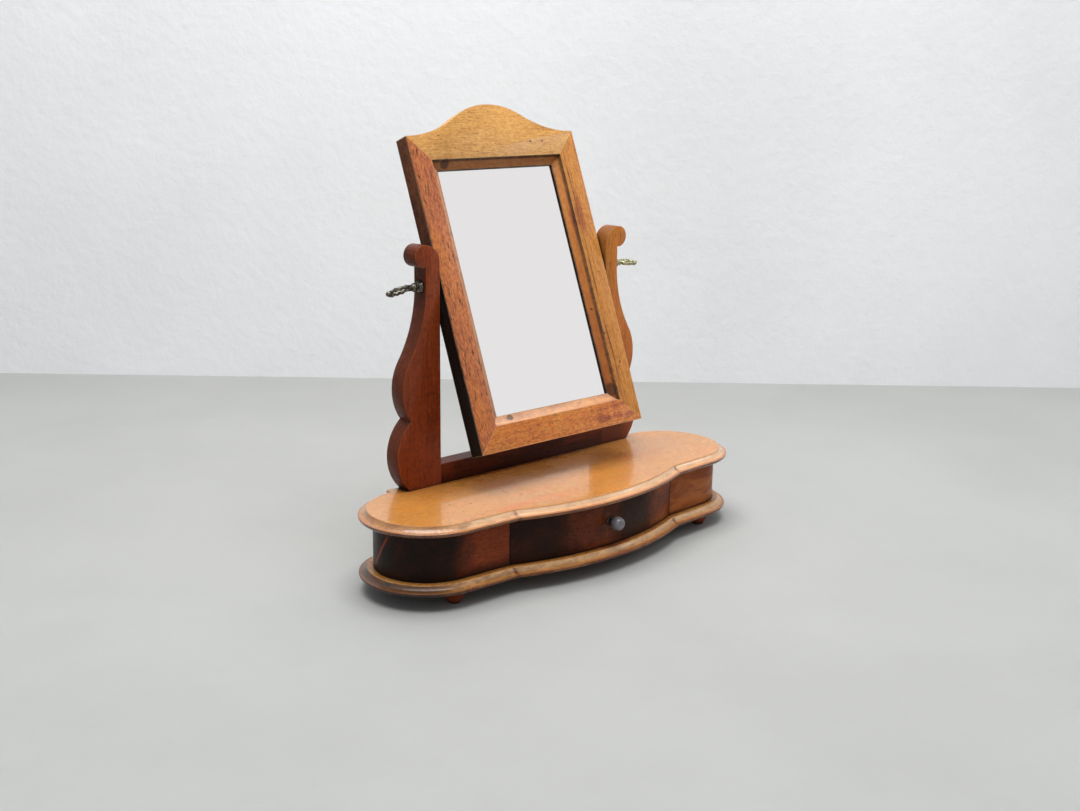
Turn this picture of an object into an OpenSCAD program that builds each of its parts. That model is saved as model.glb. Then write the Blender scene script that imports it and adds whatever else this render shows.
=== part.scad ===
// Table dressing mirror. A crested, mitred mirror frame tilts between two
// scroll cut uprights, which stand on a lobed, bow fronted base with a drawer.
// Millimetres. X runs to the right, Y to the back and Z up, and the floor is
// at Z = 0. The drawer opens towards -Y.

/* [Boards] */
// Width of the boards over the two lobes
base_w = 454.8; // [430:0.2:520]
// Radius of the lobe at each end
lobe_r = 64.5; // [60:0.5:68]
// How far the bow stands ahead of the uprights' face
bow_reach = 135; // [128:1:142]
// Distance of each notch from the end of the boards
notch_in = 117.7; // [112:0.1:127]
// How far the notches stand ahead of the uprights' face
notch_reach = 113.6; // [111:0.1:118]
// Thickness of the top and bottom boards
board_t = 9; // [8:0.5:14]
// Width of the hollow moulded into the boards' edges
cove_w = 7; // [4:0.1:8]
// Depth of that hollow
cove_d = 4.9; // [3:0.1:6]
// Flat lip outside the hollow
cove_lip = 0.8; // [0.4:0.1:1.5]
// Small step between the hollow and the flat top
cove_step = 0.6; // [0.3:0.1:1]
// Radius of the rounding under the lip
nose_r = 3; // [2:0.1:4]
// Height above the board's underside at which that rounding ends
nose_h = 2.6; // [1.5:0.1:2.8]

/* [Case] */
// Height of the case between the boards
case_h = 46.4; // [44:0.1:70]
// How far the boards stand out over the case
overhang = 13.4; // [9:0.1:16]
// Thickness of the curved end walls
wall_t = 12; // [8:0.5:16]
// Thickness of the partitions that guide the drawer
guide_t = 8; // [5:0.5:12]
// Thickness of the back panel
back_t = 8; // [5:0.5:12]
// Length of the stop blocks behind the drawer
stop_l = 7; // [4:0.5:12]
// Width of a stop block
stop_w = 20; // [12:1:40]
// Distance of the stop blocks from the middle
stop_x = 60; // [30:1:80]

/* [Drawer] */
// Thickness of the bowed drawer front
front_t = 13; // [11:0.5:18]
// Thickness of the drawer sides
side_t = 7; // [5:0.5:9]
// Height of the drawer sides
side_h = 41; // [30:0.5:42]
// Thickness of the drawer back
drawer_back_t = 6; // [4:0.5:9]
// Thickness of the drawer bottom
drawer_floor_t = 4; // [3:0.5:6]
// Height of the drawer bottom above the lower edge of the sides
floor_rise = 4.5; // [3:0.5:8]
// Depth of the grooves that hold the drawer bottom and back
groove_d = 3; // [2:0.25:4]
// How deep the dovetails lap into the drawer front
lap_d = 8; // [6:0.5:9]
// Height of a dovetail at its wide end
tail_h = 15; // [12:0.5:17]
// How much a dovetail narrows on each side, towards its root
tail_flare = 1.8; // [1:0.1:3]
// Gap at each side of the drawer
drawer_gap = 0.4; // [0.3:0.1:0.8]
// Gap under, over and behind the drawer
drawer_lift = 0.3; // [0.2:0.1:0.6]
// Diameter of the drawer knob
knob_d = 13.4; // [10:0.2:16]
// Distance from the drawer front's face to the middle of the knob
knob_reach = 9.9; // [9:0.1:14]
// Height of the knob above the middle of the drawer
knob_up = 1.2; // [-4:0.1:4]
// Diameter of the screw that holds the knob
knob_screw_d = 3.6; // [3:0.2:4.6]
// How far that screw reaches into the knob
knob_screw_in = 9; // [6:0.5:11]

/* [Feet] */
// Height of the turned feet
foot_h = 14.6; // [13:0.2:22]
// Radius of a foot at its upper rim
foot_r = 11.5; // [11:0.25:14]
// Radius of a foot where it stands on the floor
foot_toe_r = 5.5; // [4:0.25:8]
// Height of the collar between a foot and the board
foot_collar_h = 2; // [1.5:0.25:3]
// Radius of the foot's spigot
spigot_r = 4.5; // [3:0.25:6]
// Height of the foot's spigot
spigot_h = 6; // [4:0.25:7.5]
// How far the feet stand outside the middle of a lobe
foot_out = 5; // [0:0.5:12]
// How far the feet stand before and behind the middle of a lobe
foot_spread = 44; // [34:0.5:45]

/* [Uprights] */
// Thickness of the uprights and of the rail
upright_t = 18; // [15:0.5:24]
// Height of the uprights
upright_h = 233.1; // [228:0.1:250]
// Width of an upright at its neck, where the mirror hangs
neck_w = 16.25; // [14:0.25:18]
// Radius of the scroll that crowns an upright
scroll_r = 10.6; // [9:0.1:12]
// How far the middle of the scroll is out from the inner edge
scroll_x = 18.05; // [16:0.05:22]
// Reach of the belly from the inner edge
belly_x = 44.4; // [40:0.1:49]
// Radius of the belly
belly_r = 50; // [47:0.5:56]
// Height of the belly
belly_z = 97; // [92:0.5:105]
// Reach of the rounded heel from the inner edge
heel_x = 51.2; // [47:0.1:56]
// Radius of the heel
heel_r = 46; // [43:0.5:49]
// Height of the heel
heel_z = 33; // [30:0.5:36]
// Height of the rail between the uprights
rail_h = 20; // [15:0.5:22]
// Diameter of the rail's dowels
rail_dowel_d = 6; // [5:0.5:8]
// Length of the rail's dowels
rail_dowel_l = 26; // [20:1:36]
// Distance between the two dowels in each end of the rail
rail_dowel_gap = 9; // [8:0.5:11]
// Diameter of the screws that hold the uprights from beneath
screw_d = 4; // [3:0.5:5]
// Diameter of their countersunk heads
screw_head_d = 8; // [6:0.5:9]
// How far those screws reach into the uprights
screw_reach = 22; // [14:1:28]
// Distance of the inner screw from the upright's inner edge
screw_first = 16; // [15.5:0.5:18]
// Distance between the two screws of an upright
screw_pitch = 14; // [10:0.5:16]

/* [Mirror] */
// Width of the mirror frame
frame_w = 216.6; // [200:0.2:236]
// Thickness of the mirror frame
frame_t = 16.2; // [15.4:0.1:20]
// Depth of the pivots below the top of the uprights
pivot_drop = 39.8; // [36:0.1:42]
// Height of the frame's upper corners above the pivots
frame_up = 142.6; // [128:0.1:143]
// How much shorter the frame's lower half is than the pivots' height
frame_clear = 26.4; // [24:0.1:44]
// Rise of the crest above the frame's upper corners
crest_rise = 29.8; // [20:0.1:30]
// Radius of the crest's crown
crown_r = 85; // [70:1:110]
// Width of the flat face of the frame's members
band_w = 24.2; // [20:0.1:28]
// Width of the hollow slope inside the flat face
slope_w = 9.2; // [8:0.1:14]
// Depth of the slope, from the frame's face to the glass
slope_d = 8.2; // [7.5:0.1:10]
// Sharp drop at the outer edge of the slope
quirk_d = 1.5; // [0.5:0.1:2.5]
// Sag of the slope's hollow below a straight line
hollow_d = 1.2; // [0.5:0.1:1.5]
// Height of the sharp inner edge of the slope above the glass
lip_t = 1.1; // [0.8:0.1:4.2]
// How far the glass reaches behind the lip
glass_lap = 5; // [4:0.25:5.5]
// Thickness of the glass
glass_t = 3; // [2:0.25:3.5]
// Thickness of the board behind the glass
backing_t = 2.6; // [2:0.1:2.8]
// Gap between the frame and each upright
side_gap = 2.45; // [1.5:0.05:4]
// How far the mirror leans back in the pose shown
lean = 21.3; // [5:0.1:24]
// Diameter of the dowels in the mitres
mitre_dowel_d = 5; // [4:0.5:6]
// Length of the dowels in the mitres
mitre_dowel_l = 26; // [18:1:28]
// Diameter of the pins that hold the backing
pin_d = 1.2; // [0.8:0.1:1.3]
// Length of those pins
pin_l = 14; // [10:0.5:16]

/* [Ring screws] */
// Diameter of the ring screws' shanks
shank_d = 5; // [4:0.25:6]
// How far a shank reaches into the frame
shank_in = 12; // [9:0.5:14]
// Diameter of the threaded bush that is let into the frame
bush_d = 9; // [8:0.25:10]
// Radius of the turned collar that clamps the upright
collar_r = 6.5; // [6:0.1:8]
// Length of the collar and the hub, out to the ring
hub_l = 12.5; // [11:0.5:16]
// Half thickness of the ring's bow
wire_r = 1.5; // [1:0.05:1.7]
// Width over the ring
ring_w = 14; // [12:0.5:16]
// Length over the ring
ring_l = 24; // [20:0.5:30]
// Radius of the bead at the ring's tip
tip_r = 2.4; // [2:0.1:3]
// Turn of the left ring, with its front edge raised
left_turn = 36; // [-90:1:90]
// Turn of the right ring, with its front edge raised
right_turn = -9; // [-90:1:90]

/* [Fits] */
// Clearance round a dowel, pin or spigot in its hole
dowel_fit = 0.05; // [0.02:0.01:0.1]
// Clearance past the end of a dowel or spigot
end_fit = 0.3; // [0.1:0.1:0.6]
// Clearance round the ring screws' shanks in the uprights
shank_fit = 0.1; // [0.05:0.01:0.1]
// Clearance of the shank in the threaded bush
thread_fit = 0.04; // [0.02:0.01:0.1]
// Gap between a ring screw's collar and the upright
collar_gap = 0.2; // [0.1:0.05:0.3]
// Play of the glass and the backing in their rebate
glass_fit = 0.3; // [0.2:0.1:1]

/* [Hidden] */
$fn = 96;

// Boards, measured from the uprights' front face. The shoulder is the straight
// stretch of edge from a notch to where it touches the lobe.
lobe_over = 0.3;
lobe_x = base_w / 2 - lobe_r;
lobe_y = upright_t + lobe_over - lobe_r;
notch_x = base_w / 2 - notch_in;
notch_run = [lobe_x - notch_x, lobe_y + notch_reach];
shoulder_a = atan2(notch_run[1], notch_run[0]) - asin(lobe_r / norm(notch_run));
bow_sag = bow_reach - notch_reach;
bow_r = (pow(notch_x, 2) + pow(bow_sag, 2)) / (2 * bow_sag);
cove_r = (pow(cove_w, 2) + pow(cove_d, 2)) / (2 * cove_d);

// Case: its outline is the boards' outline, set in by the overhang
floor_top = foot_h + board_t;
case_top = floor_top + case_h;
table_z = case_top + board_t;
bow_inset = overhang / cos(shoulder_a);
case_front = bow_reach - bow_inset;
case_notch = notch_reach - bow_inset;
case_r = lobe_r - overhang;
case_back = lobe_y + case_r;
panel_face = case_back - back_t;

// Drawer
drawer_w = 2 * (notch_x - drawer_gap);
drawer_z = floor_top + drawer_lift;
front_h = case_h - 2 * drawer_lift;
drawer_end = panel_face - stop_l - drawer_lift;
side_end = panel_face - 1;
side_in = drawer_w / 2 - side_t;
bow_y = bow_r - case_front;
inner_r = bow_r - front_t;
root_y = bow_y - sqrt(pow(inner_r, 2) - pow(drawer_w / 2, 2));
knob_z = floor_top + case_h / 2 + knob_up;

// Uprights
pivot_h = upright_h - pivot_drop;
upright_x = frame_w / 2 + side_gap;
axis_y = upright_t / 2;
pivot_z = table_z + pivot_h;
throat_run = neck_w - belly_x + belly_r;
throat_drop = pivot_h - belly_z;
throat_r = (pow(throat_run, 2) + pow(throat_drop, 2) - pow(belly_r, 2))
    / (2 * (belly_r - throat_run));
throat_z = belly_z + belly_r * throat_drop / (throat_r + belly_r);

// Mirror, measured from the pivot axis
half_w = frame_w / 2;
frame_down = pivot_h - frame_clear;
member_w = band_w + slope_w;
face_y = frame_t / 2 + 0.1;
glass_w = frame_w - 2 * (member_w - glass_lap);
glass_up = frame_up - member_w + glass_lap;
glass_down = frame_down - member_w + glass_lap;
rebate_u = member_w - glass_lap - glass_fit;
flank_r = (pow(half_w, 2) / crest_rise + crest_rise - 2 * crown_r) / 2;
crown_x = half_w * crown_r / (crown_r + flank_r);
crown_z = frame_up + crest_rise - crown_r + sqrt(pow(crown_r, 2) - pow(crown_x, 2));

// The origin is under the middle of the whole object's footprint
front_reach = case_front + knob_reach + knob_d / 2;
rear_reach = axis_y + (frame_up + crest_rise) * sin(lean) + (frame_t - face_y) * cos(lean);
stand_y = (front_reach - rear_reach) / 2;

// Places what is drawn from the uprights' front face and the floor
module on_stand() {
    translate([0, stand_y, 0]) children();
}

// Places what is drawn from the pivot axis, leaning back as shown
module on_pivot() {
    translate([0, stand_y + axis_y, pivot_z]) rotate([-lean, 0, 0]) children();
}

// Draws the right hand piece, or its mirror image
module hand(side) {
    if (side < 0) mirror([1, 0, 0]) children();
    else children();
}

module both_hands() {
    children();
    mirror([1, 0, 0]) children();
}

// Sweeps a section, with its x outwards and its y up, along one end of the
// case outline: the straight shoulder, then the lobe round to the back
module sweep_end() {
    translate([lobe_x, lobe_y, 0]) {
        rotate([0, 0, shoulder_a - 90]) rotate_extrude(angle = 180 - shoulder_a) children();
        rotate([90, 0, shoulder_a - 90]) linear_extrude(lobe_x) children();
    }
}

// Half section of a board whose edge lies at radius r
module edge_section(r) {
    lip_z = board_t - cove_step - cove_d;
    difference() {
        translate([0, -1]) square([r, board_t + 2]);
        intersection() {
            translate([r - cove_lip, lip_z + cove_r]) circle(cove_r);
            translate([r - cove_lip - cove_w, lip_z]) square([cove_w, cove_d]);
        }
        translate([r - cove_lip - cove_w, lip_z + cove_d]) square([cove_w + 1, board_t]);
        translate([r - cove_lip, lip_z]) square([cove_lip + 1, board_t]);
        difference() {
            translate([r - nose_r, -2]) square([nose_r + 1, nose_h + 2]);
            translate([r - nose_r, nose_h]) circle(nose_r);
        }
    }
}

// Lobed, bow fronted board with a moulded edge; its back edge is plain, and its
// two faces are cut flat in one go from sweeps that are a little too thick
module board() {
    intersection() {
        union() {
            intersection() {
                translate([0, bow_r - bow_reach, 0]) rotate([0, 0, shoulder_a + 90])
                    rotate_extrude() edge_section(bow_r);
                translate([-lobe_x, -bow_reach - 1, -2])
                    cube([2 * lobe_x, bow_reach + upright_t + 2, board_t + 4]);
            }
            both_hands() sweep_end() edge_section(lobe_r);
        }
        translate([-base_w, upright_t - base_w, 0]) cube([2 * base_w, base_w, board_t]);
    }
}

module foot_places() {
    for (side = [-1, 1], end = [-1, 1])
        translate([side * (lobe_x + foot_out), lobe_y + end * foot_spread, 0]) children();
}

module screw_places() {
    for (side = [-1, 1], n = [0, 1])
        translate([side * (upright_x + screw_first + n * screw_pitch), axis_y, 0]) children();
}

module top_board() {
    on_stand() color("goldenrod") difference() {
        translate([0, 0, case_top]) board();
        screw_places() translate([0, 0, case_top]) {
            translate([0, 0, -1]) cylinder(d = screw_d + 2 * dowel_fit, h = board_t + 2);
            screw_head(dowel_fit);
        }
    }
}

module bottom_board() {
    on_stand() color("peru") difference() {
        translate([0, 0, foot_h]) board();
        foot_places() translate([0, 0, foot_h - 1])
            cylinder(r = spigot_r + dowel_fit, h = spigot_h + end_fit + 1);
    }
}

// Wall that follows the case outline round a lobe, from the drawer to the back
module end_wall(side) {
    on_stand() color("#5a3224") hand(side) translate([0, 0, floor_top]) intersection() {
        sweep_end() translate([case_r - wall_t, 0]) square([wall_t, case_h]);
        translate([notch_x, -bow_reach, -1]) cube([base_w, 2 * bow_reach, case_h + 2]);
    }
}
module end_wall_left() { end_wall(-1); }
module end_wall_right() { end_wall(1); }

module back_panel() {
    on_stand() color("#5a3a28") translate([-lobe_x, panel_face, floor_top])
        cube([2 * lobe_x, back_t, case_h]);
}

// Upright partition beside the drawer, butted to the end wall and the back
module drawer_guide(side) {
    y = -case_notch + wall_t / cos(shoulder_a);
    on_stand() color("#7a5536") hand(side) translate([0, 0, floor_top]) linear_extrude(case_h)
        polygon([
            [notch_x, y],
            [notch_x + guide_t, y + guide_t * tan(shoulder_a)],
            [notch_x + guide_t, panel_face],
            [notch_x, panel_face]
        ]);
}
module drawer_guide_left() { drawer_guide(-1); }
module drawer_guide_right() { drawer_guide(1); }

// Blocks that the back of the drawer comes to rest against
module drawer_stops() {
    h = drawer_lift + floor_rise + drawer_floor_t + 4;
    on_stand() color("#8a6a48") both_hands()
        translate([stop_x - stop_w / 2, panel_face - stop_l, floor_top])
            cube([stop_w, stop_l, h]);
}

// Turned bun foot with a collar, and a spigot that stands in the board
module foot(side, end) {
    x = side * (lobe_x + foot_out);
    y = lobe_y + end * foot_spread;
    on_stand() color("#3a2418") translate([x, y, 0]) {
        cylinder(r1 = foot_toe_r, r2 = foot_r, h = foot_h - foot_collar_h);
        translate([0, 0, foot_h - foot_collar_h - 1])
            cylinder(r = foot_r - 1.3, h = foot_collar_h + 1);
        cylinder(r = spigot_r, h = foot_h + spigot_h);
    }
}
module foot_front_left() { foot(-1, -1); }
module foot_front_right() { foot(1, -1); }
module foot_back_left() { foot(-1, 1); }
module foot_back_right() { foot(1, 1); }

// Outline of an upright from its inner edge and its foot: a straight inner
// edge, a rounded heel, a belly, a long hollow throat and a scrolled head
module upright_outline() {
    intersection() {
        union() {
            translate([heel_x - heel_r, heel_z]) circle(heel_r);
            translate([belly_x - belly_r, belly_z]) circle(belly_r);
            difference() {
                translate([0, throat_z]) square([belly_x, pivot_h - throat_z]);
                translate([neck_w + throat_r, pivot_h]) circle(throat_r, $fn = 240);
            }
            translate([0, pivot_h - 1]) square([neck_w, upright_h - scroll_x - pivot_h + 1]);
            intersection() {
                translate([scroll_x, upright_h - scroll_x]) circle(scroll_x);
                translate([0, upright_h - scroll_x]) square([scroll_x, scroll_x]);
            }
            translate([scroll_x, upright_h - scroll_r]) circle(scroll_r);
        }
        square([belly_x + heel_x, upright_h + 1]);
    }
}

module rail_dowel_places() {
    for (side = [-1, 1], n = [-1, 1])
        translate([side * upright_x, axis_y, table_z + rail_h / 2 + n * rail_dowel_gap / 2])
            rotate([0, 90, 0]) children();
}

module upright(side) {
    on_stand() color("#6b2f1c") difference() {
        hand(side) translate([upright_x, upright_t, table_z]) rotate([90, 0, 0])
            linear_extrude(upright_t) upright_outline();
        hand(side) translate([upright_x - 1, axis_y, pivot_z]) rotate([0, 90, 0])
            cylinder(d = shank_d + 2 * shank_fit, h = neck_w + 2);
        rail_dowel_places() dowel(rail_dowel_d, rail_dowel_l, dowel_fit, end_fit);
        screw_places() translate([0, 0, case_top])
            cylinder(d = screw_d + 2 * dowel_fit, h = board_t + screw_reach + end_fit);
    }
}
module upright_left() { upright(-1); }
module upright_right() { upright(1); }

// Plain dowel about its own middle, or the hole for it
module dowel(d, l, side_fit = 0, far_fit = 0) {
    cylinder(d = d + 2 * side_fit, h = l + 2 * far_fit, center = true);
}

module lower_rail() {
    on_stand() color("#5e2a1a") difference() {
        translate([-upright_x, 0, table_z]) cube([2 * upright_x, upright_t, rail_h]);
        rail_dowel_places() dowel(rail_dowel_d, rail_dowel_l, dowel_fit, end_fit);
    }
}

module rail_dowels() {
    on_stand() color("burlywood") rail_dowel_places() dowel(rail_dowel_d, rail_dowel_l);
}

// Countersunk head, or with a fit the seat for it, widest at Z = 0
module screw_head(fit = 0) {
    r = screw_head_d / 2 + fit;
    shank = screw_d / 2;
    rotate_extrude() polygon([[0, 0], [r, 0], [shank, r - shank], [0, r - shank]]);
}

module upright_screws() {
    on_stand() color("dimgray") screw_places() translate([0, 0, case_top]) {
        screw_head();
        cylinder(d = screw_d, h = board_t + screw_reach);
    }
}

// Drawer front in plan, as thick as front_t all along the bow
module front_plan() {
    intersection() {
        translate([0, bow_y]) difference() {
            circle(bow_r, $fn = 720);
            circle(inner_r, $fn = 720);
        }
        translate([-drawer_w / 2, -case_front - 1]) square([drawer_w, case_front]);
    }
}

// Dovetails on the front end of a right hand side, wide end forward
module tails() {
    for (n = [1, 3])
        translate([side_in, 0, drawer_z + n * side_h / 4]) rotate([90, 0, 90])
            linear_extrude(side_t) polygon([
                [root_y - lap_d, -tail_h / 2],
                [root_y + 1, -tail_h / 2 + tail_flare],
                [root_y + 1, tail_h / 2 - tail_flare],
                [root_y - lap_d, tail_h / 2]
            ]);
}

// Drawer bottom in plan, let into its grooves by depth d
module floor_plan(d) {
    intersection() {
        translate([0, bow_y]) circle(inner_r + d, $fn = 720);
        translate([-side_in - d, -case_front]) square([2 * (side_in + d), case_front + drawer_end]);
    }
}

module drawer_front() {
    on_stand() color("#3a1f16") difference() {
        translate([0, 0, drawer_z]) linear_extrude(front_h) front_plan();
        both_hands() tails();
        translate([0, 0, drawer_z + floor_rise]) linear_extrude(drawer_floor_t)
            floor_plan(groove_d);
        translate([0, 0, knob_z]) rotate([90, 0, 0])
            cylinder(d = knob_screw_d + 2 * dowel_fit, h = bow_reach);
    }
}

// Side with dovetails in front, and grooves for the bottom and the back
module drawer_side(side) {
    on_stand() color("#b08850") hand(side) difference() {
        translate([side_in, root_y - lap_d, drawer_z])
            cube([side_t, side_end - root_y + lap_d, side_h]);
        difference() {
            translate([0, 0, drawer_z - 1]) linear_extrude(side_h + 2) front_plan();
            tails();
        }
        translate([side_in - 1, -case_front, drawer_z + floor_rise])
            cube([groove_d + 1, case_front + drawer_end, drawer_floor_t]);
        translate([side_in - 1, drawer_end - drawer_back_t, drawer_z + floor_rise])
            cube([groove_d + 1, drawer_back_t, side_h]);
    }
}
module drawer_side_left() { drawer_side(-1); }
module drawer_side_right() { drawer_side(1); }

module drawer_back() {
    z = floor_rise + drawer_floor_t;
    on_stand() color("#a88048")
        translate([-side_in - groove_d, drawer_end - drawer_back_t, drawer_z + z])
            cube([2 * (side_in + groove_d), drawer_back_t, side_h - z]);
}

module drawer_bottom() {
    on_stand() color("#b89058") translate([0, 0, drawer_z + floor_rise])
        linear_extrude(drawer_floor_t) floor_plan(groove_d);
}

// Turned ball knob on a short neck, with a bore for its screw
module drawer_knob() {
    on_stand() color("#222222") translate([0, -case_front, knob_z]) rotate([90, 0, 0])
        difference() {
            union() {
                translate([0, 0, knob_reach]) sphere(d = knob_d);
                cylinder(r = knob_d / 4, h = knob_reach);
                cylinder(r = knob_d * 0.38, h = 1.4);
            }
            translate([0, 0, -1])
                cylinder(d = knob_screw_d + 2 * dowel_fit, h = knob_screw_in + end_fit + 1);
        }
}

module knob_screw() {
    on_stand() color("dimgray") translate([0, front_t - case_front, knob_z]) rotate([90, 0, 0]) {
        cylinder(d = knob_screw_d, h = front_t + knob_screw_in);
        translate([0, 0, -1.8]) cylinder(d = 2 * knob_screw_d, h = 1.8);
    }
}

// Section through a frame member: x runs inwards from its outer edge and y
// back from its face. A positive extra widens it outwards, for the crest.
module member_section(extra = 0) {
    slope = [slope_w, slope_d - lip_t - quirk_d];
    chord = norm(slope);
    hollow_r = (pow(chord / 2, 2) + pow(hollow_d, 2)) / (2 * hollow_d);
    open = [slope[1], -slope[0]] / chord;
    middle = [band_w, quirk_d] + slope / 2 + open * (hollow_r - hollow_d);
    difference() {
        polygon([
            [-extra, 0],
            [band_w, 0],
            [band_w, quirk_d],
            [member_w, slope_d - lip_t],
            [member_w, slope_d],
            [rebate_u, slope_d],
            [rebate_u, frame_t],
            [-extra, frame_t]
        ]);
        intersection() {
            translate(middle) circle(hollow_r);
            translate([band_w, quirk_d]) square([slope_w + 1, slope_d]);
        }
    }
}

// Raises an outline, drawn across the frame's face, through its thickness
module through_frame() {
    translate([0, frame_t - face_y + 1, 0]) rotate([90, 0, 0]) linear_extrude(frame_t + 2)
        children();
}

// Outline of the top rail: mitred ends, hollow flanks and a round crown
module crest_outline() {
    difference() {
        polygon([
            [-half_w, frame_up],
            [member_w - half_w, frame_up - member_w],
            [half_w - member_w, frame_up - member_w],
            [half_w, frame_up],
            [crown_x, crown_z],
            [-crown_x, crown_z]
        ]);
        both_hands() translate([half_w, frame_up + flank_r]) circle(flank_r, $fn = 240);
    }
    intersection() {
        translate([0, frame_up + crest_rise - crown_r]) circle(crown_r, $fn = 240);
        translate([-crown_x, crown_z - 4]) square([2 * crown_x, crest_rise]);
    }
}

// Dowel places across the four mitres, in the middle of the thick part
module mitre_places() {
    for (side = [-1, 1], end = [-1, 1]) {
        z = end > 0 ? frame_up : -frame_down;
        translate([side * (half_w - rebate_u / 2), frame_t / 2 - face_y, z - end * rebate_u / 2])
            rotate([0, side * end * 45, 0]) children();
    }
}

// Pin places round the backing: three on each long edge, two on each short
module pin_places() {
    y = slope_d + glass_t + backing_t + pin_d / 2 - face_y;
    mid_z = (glass_up - glass_down) / 2;
    tall = glass_up + glass_down;
    for (side = [-1, 1]) {
        for (n = [-1, 0, 1])
            translate([side * glass_w / 2, y, mid_z + n * tall * 0.36]) rotate([0, 90, 0])
                children();
        for (n = [-1, 1])
            translate([n * glass_w * 0.27, y, mid_z + side * tall / 2]) children();
    }
}

// What every member of the frame is bored for
module frame_bores() {
    mitre_places() dowel(mitre_dowel_d, mitre_dowel_l, dowel_fit, end_fit);
    pin_places() dowel(pin_d, pin_l, dowel_fit / 2, end_fit);
    both_hands() translate([half_w - shank_in - end_fit, 0, 0]) rotate([0, 90, 0])
        cylinder(d = bush_d + 2 * dowel_fit, h = shank_in + end_fit + 1);
}

module frame_top_rail() {
    on_pivot() color("#d9a860") difference() {
        intersection() {
            translate([-half_w, -face_y, frame_up]) rotate([0, 90, 0]) linear_extrude(frame_w)
                member_section(crest_rise + 1);
            through_frame() crest_outline();
        }
        frame_bores();
    }
}

module frame_bottom_rail() {
    on_pivot() color("#c98a50") difference() {
        intersection() {
            translate([half_w, -face_y, -frame_down]) rotate([0, -90, 0])
                linear_extrude(frame_w) member_section();
            through_frame() polygon([
                [-half_w, -frame_down],
                [half_w, -frame_down],
                [half_w - member_w, member_w - frame_down],
                [member_w - half_w, member_w - frame_down]
            ]);
        }
        frame_bores();
    }
}

module frame_stile(side) {
    on_pivot() color("#c07848") difference() {
        hand(-side) intersection() {
            translate([-half_w, -face_y, -frame_down]) linear_extrude(frame_up + frame_down)
                member_section();
            through_frame() polygon([
                [-half_w, -frame_down],
                [member_w - half_w, member_w - frame_down],
                [member_w - half_w, frame_up - member_w],
                [-half_w, frame_up]
            ]);
        }
        frame_bores();
    }
}
module frame_stile_left() { frame_stile(-1); }
module frame_stile_right() { frame_stile(1); }

module mitre_dowels() {
    on_pivot() color("burlywood") mitre_places() dowel(mitre_dowel_d, mitre_dowel_l);
}

// Plate that fills the rebate between depths y and y + t behind the face
module rebate_plate(y, t) {
    on_pivot() translate([-glass_w / 2, y - face_y, -glass_down])
        cube([glass_w, t, glass_up + glass_down]);
}

module mirror_glass() {
    color("#dfe6e8") rebate_plate(slope_d, glass_t);
}

module mirror_backing() {
    color("#8a6038") rebate_plate(slope_d + glass_t, backing_t);
}

module backing_pins() {
    on_pivot() color("dimgray") pin_places() dowel(pin_d, pin_l);
}

// Threaded bush let into the outer edge of a stile
module pivot_bush(side) {
    on_pivot() color("#b08d3c") hand(side) translate([half_w - shank_in, 0, 0])
        rotate([0, 90, 0]) difference() {
            cylinder(d = bush_d, h = shank_in);
            translate([0, 0, -1]) cylinder(d = shank_d + 2 * thread_fit, h = shank_in + 2);
        }
}
module pivot_bush_left() { pivot_bush(-1); }
module pivot_bush_right() { pivot_bush(1); }

// Oval of the ring bow, drawn in by an inset
module bow_oval(inset) {
    r = ring_w / 2 - inset;
    for (y = [ring_w / 2, ring_l - ring_w / 2]) translate([0, y]) circle(r);
    translate([-r, ring_w / 2]) square([2 * r, ring_l - ring_w]);
}

// Screw along +Z from the end of its thread: plain shank, beaded collar, hub
// and an oval ring bow with a bead at its tip
module ring_screw_body() {
    seat = shank_in + side_gap + neck_w + collar_gap;
    ring_z = seat + hub_l;
    cylinder(d = shank_d, h = seat + 1);
    translate([0, 0, seat]) rotate_extrude() difference() {
        union() {
            square([collar_r, 1.7]);
            translate([collar_r - 1.9, 2.3]) circle(1.5);
            square([collar_r - 2.6, 4.3]);
            square([wire_r + 1.1, hub_l + wire_r]);
            translate([wire_r, 7.2]) circle(wire_r + 1.2);
        }
        translate([-4, -1]) square([4, hub_l + 6]);
    }
    translate([0, wire_r, ring_z]) rotate([90, 0, 0]) linear_extrude(2 * wire_r) difference() {
        bow_oval(0);
        bow_oval(2 * wire_r);
    }
    translate([0, 0, ring_z + ring_l]) rotate_extrude() intersection() {
        circle(tip_r);
        translate([0, -tip_r]) square([tip_r, 2 * tip_r]);
    }
}

module ring_screw(side, turn) {
    translate([0, stand_y + axis_y, pivot_z]) color("#6b5f4a") hand(side) rotate([-turn, 0, 0])
        translate([half_w - shank_in, 0, 0]) rotate([90, 0, 90]) ring_screw_body();
}
module ring_screw_left() { ring_screw(-1, left_turn); }
module ring_screw_right() { ring_screw(1, right_turn); }

top_board();
bottom_board();
end_wall_left();
end_wall_right();
back_panel();
drawer_guide_left();
drawer_guide_right();
drawer_stops();
foot_front_left();
foot_front_right();
foot_back_left();
foot_back_right();
upright_left();
upright_right();
lower_rail();
rail_dowels();
upright_screws();
drawer_front();
drawer_side_left();
drawer_side_right();
drawer_back();
drawer_bottom();
drawer_knob();
knob_screw();
frame_top_rail();
frame_bottom_rail();
frame_stile_left();
frame_stile_right();
mitre_dowels();
mirror_glass();
mirror_backing();
backing_pins();
pivot_bush_left();
pivot_bush_right();
ring_screw_left();
ring_screw_right();
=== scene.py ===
"""Looks of a table dressing mirror: wax polished old wood, silvered glass and dark brass ring screws.

The shapes of the joinery come from the CAD frame. Its boards, joinery, turnings and ring screws are made
again here with worn, rounded edges, in the same places and at the same sizes.
"""

from math import asin, atan2, cos, hypot, pi, radians, sin, sqrt

import bmesh
import bpy
from bpy.props import FloatProperty, FloatVectorProperty, IntProperty, PointerProperty
from mathutils import Matrix, Vector


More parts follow.
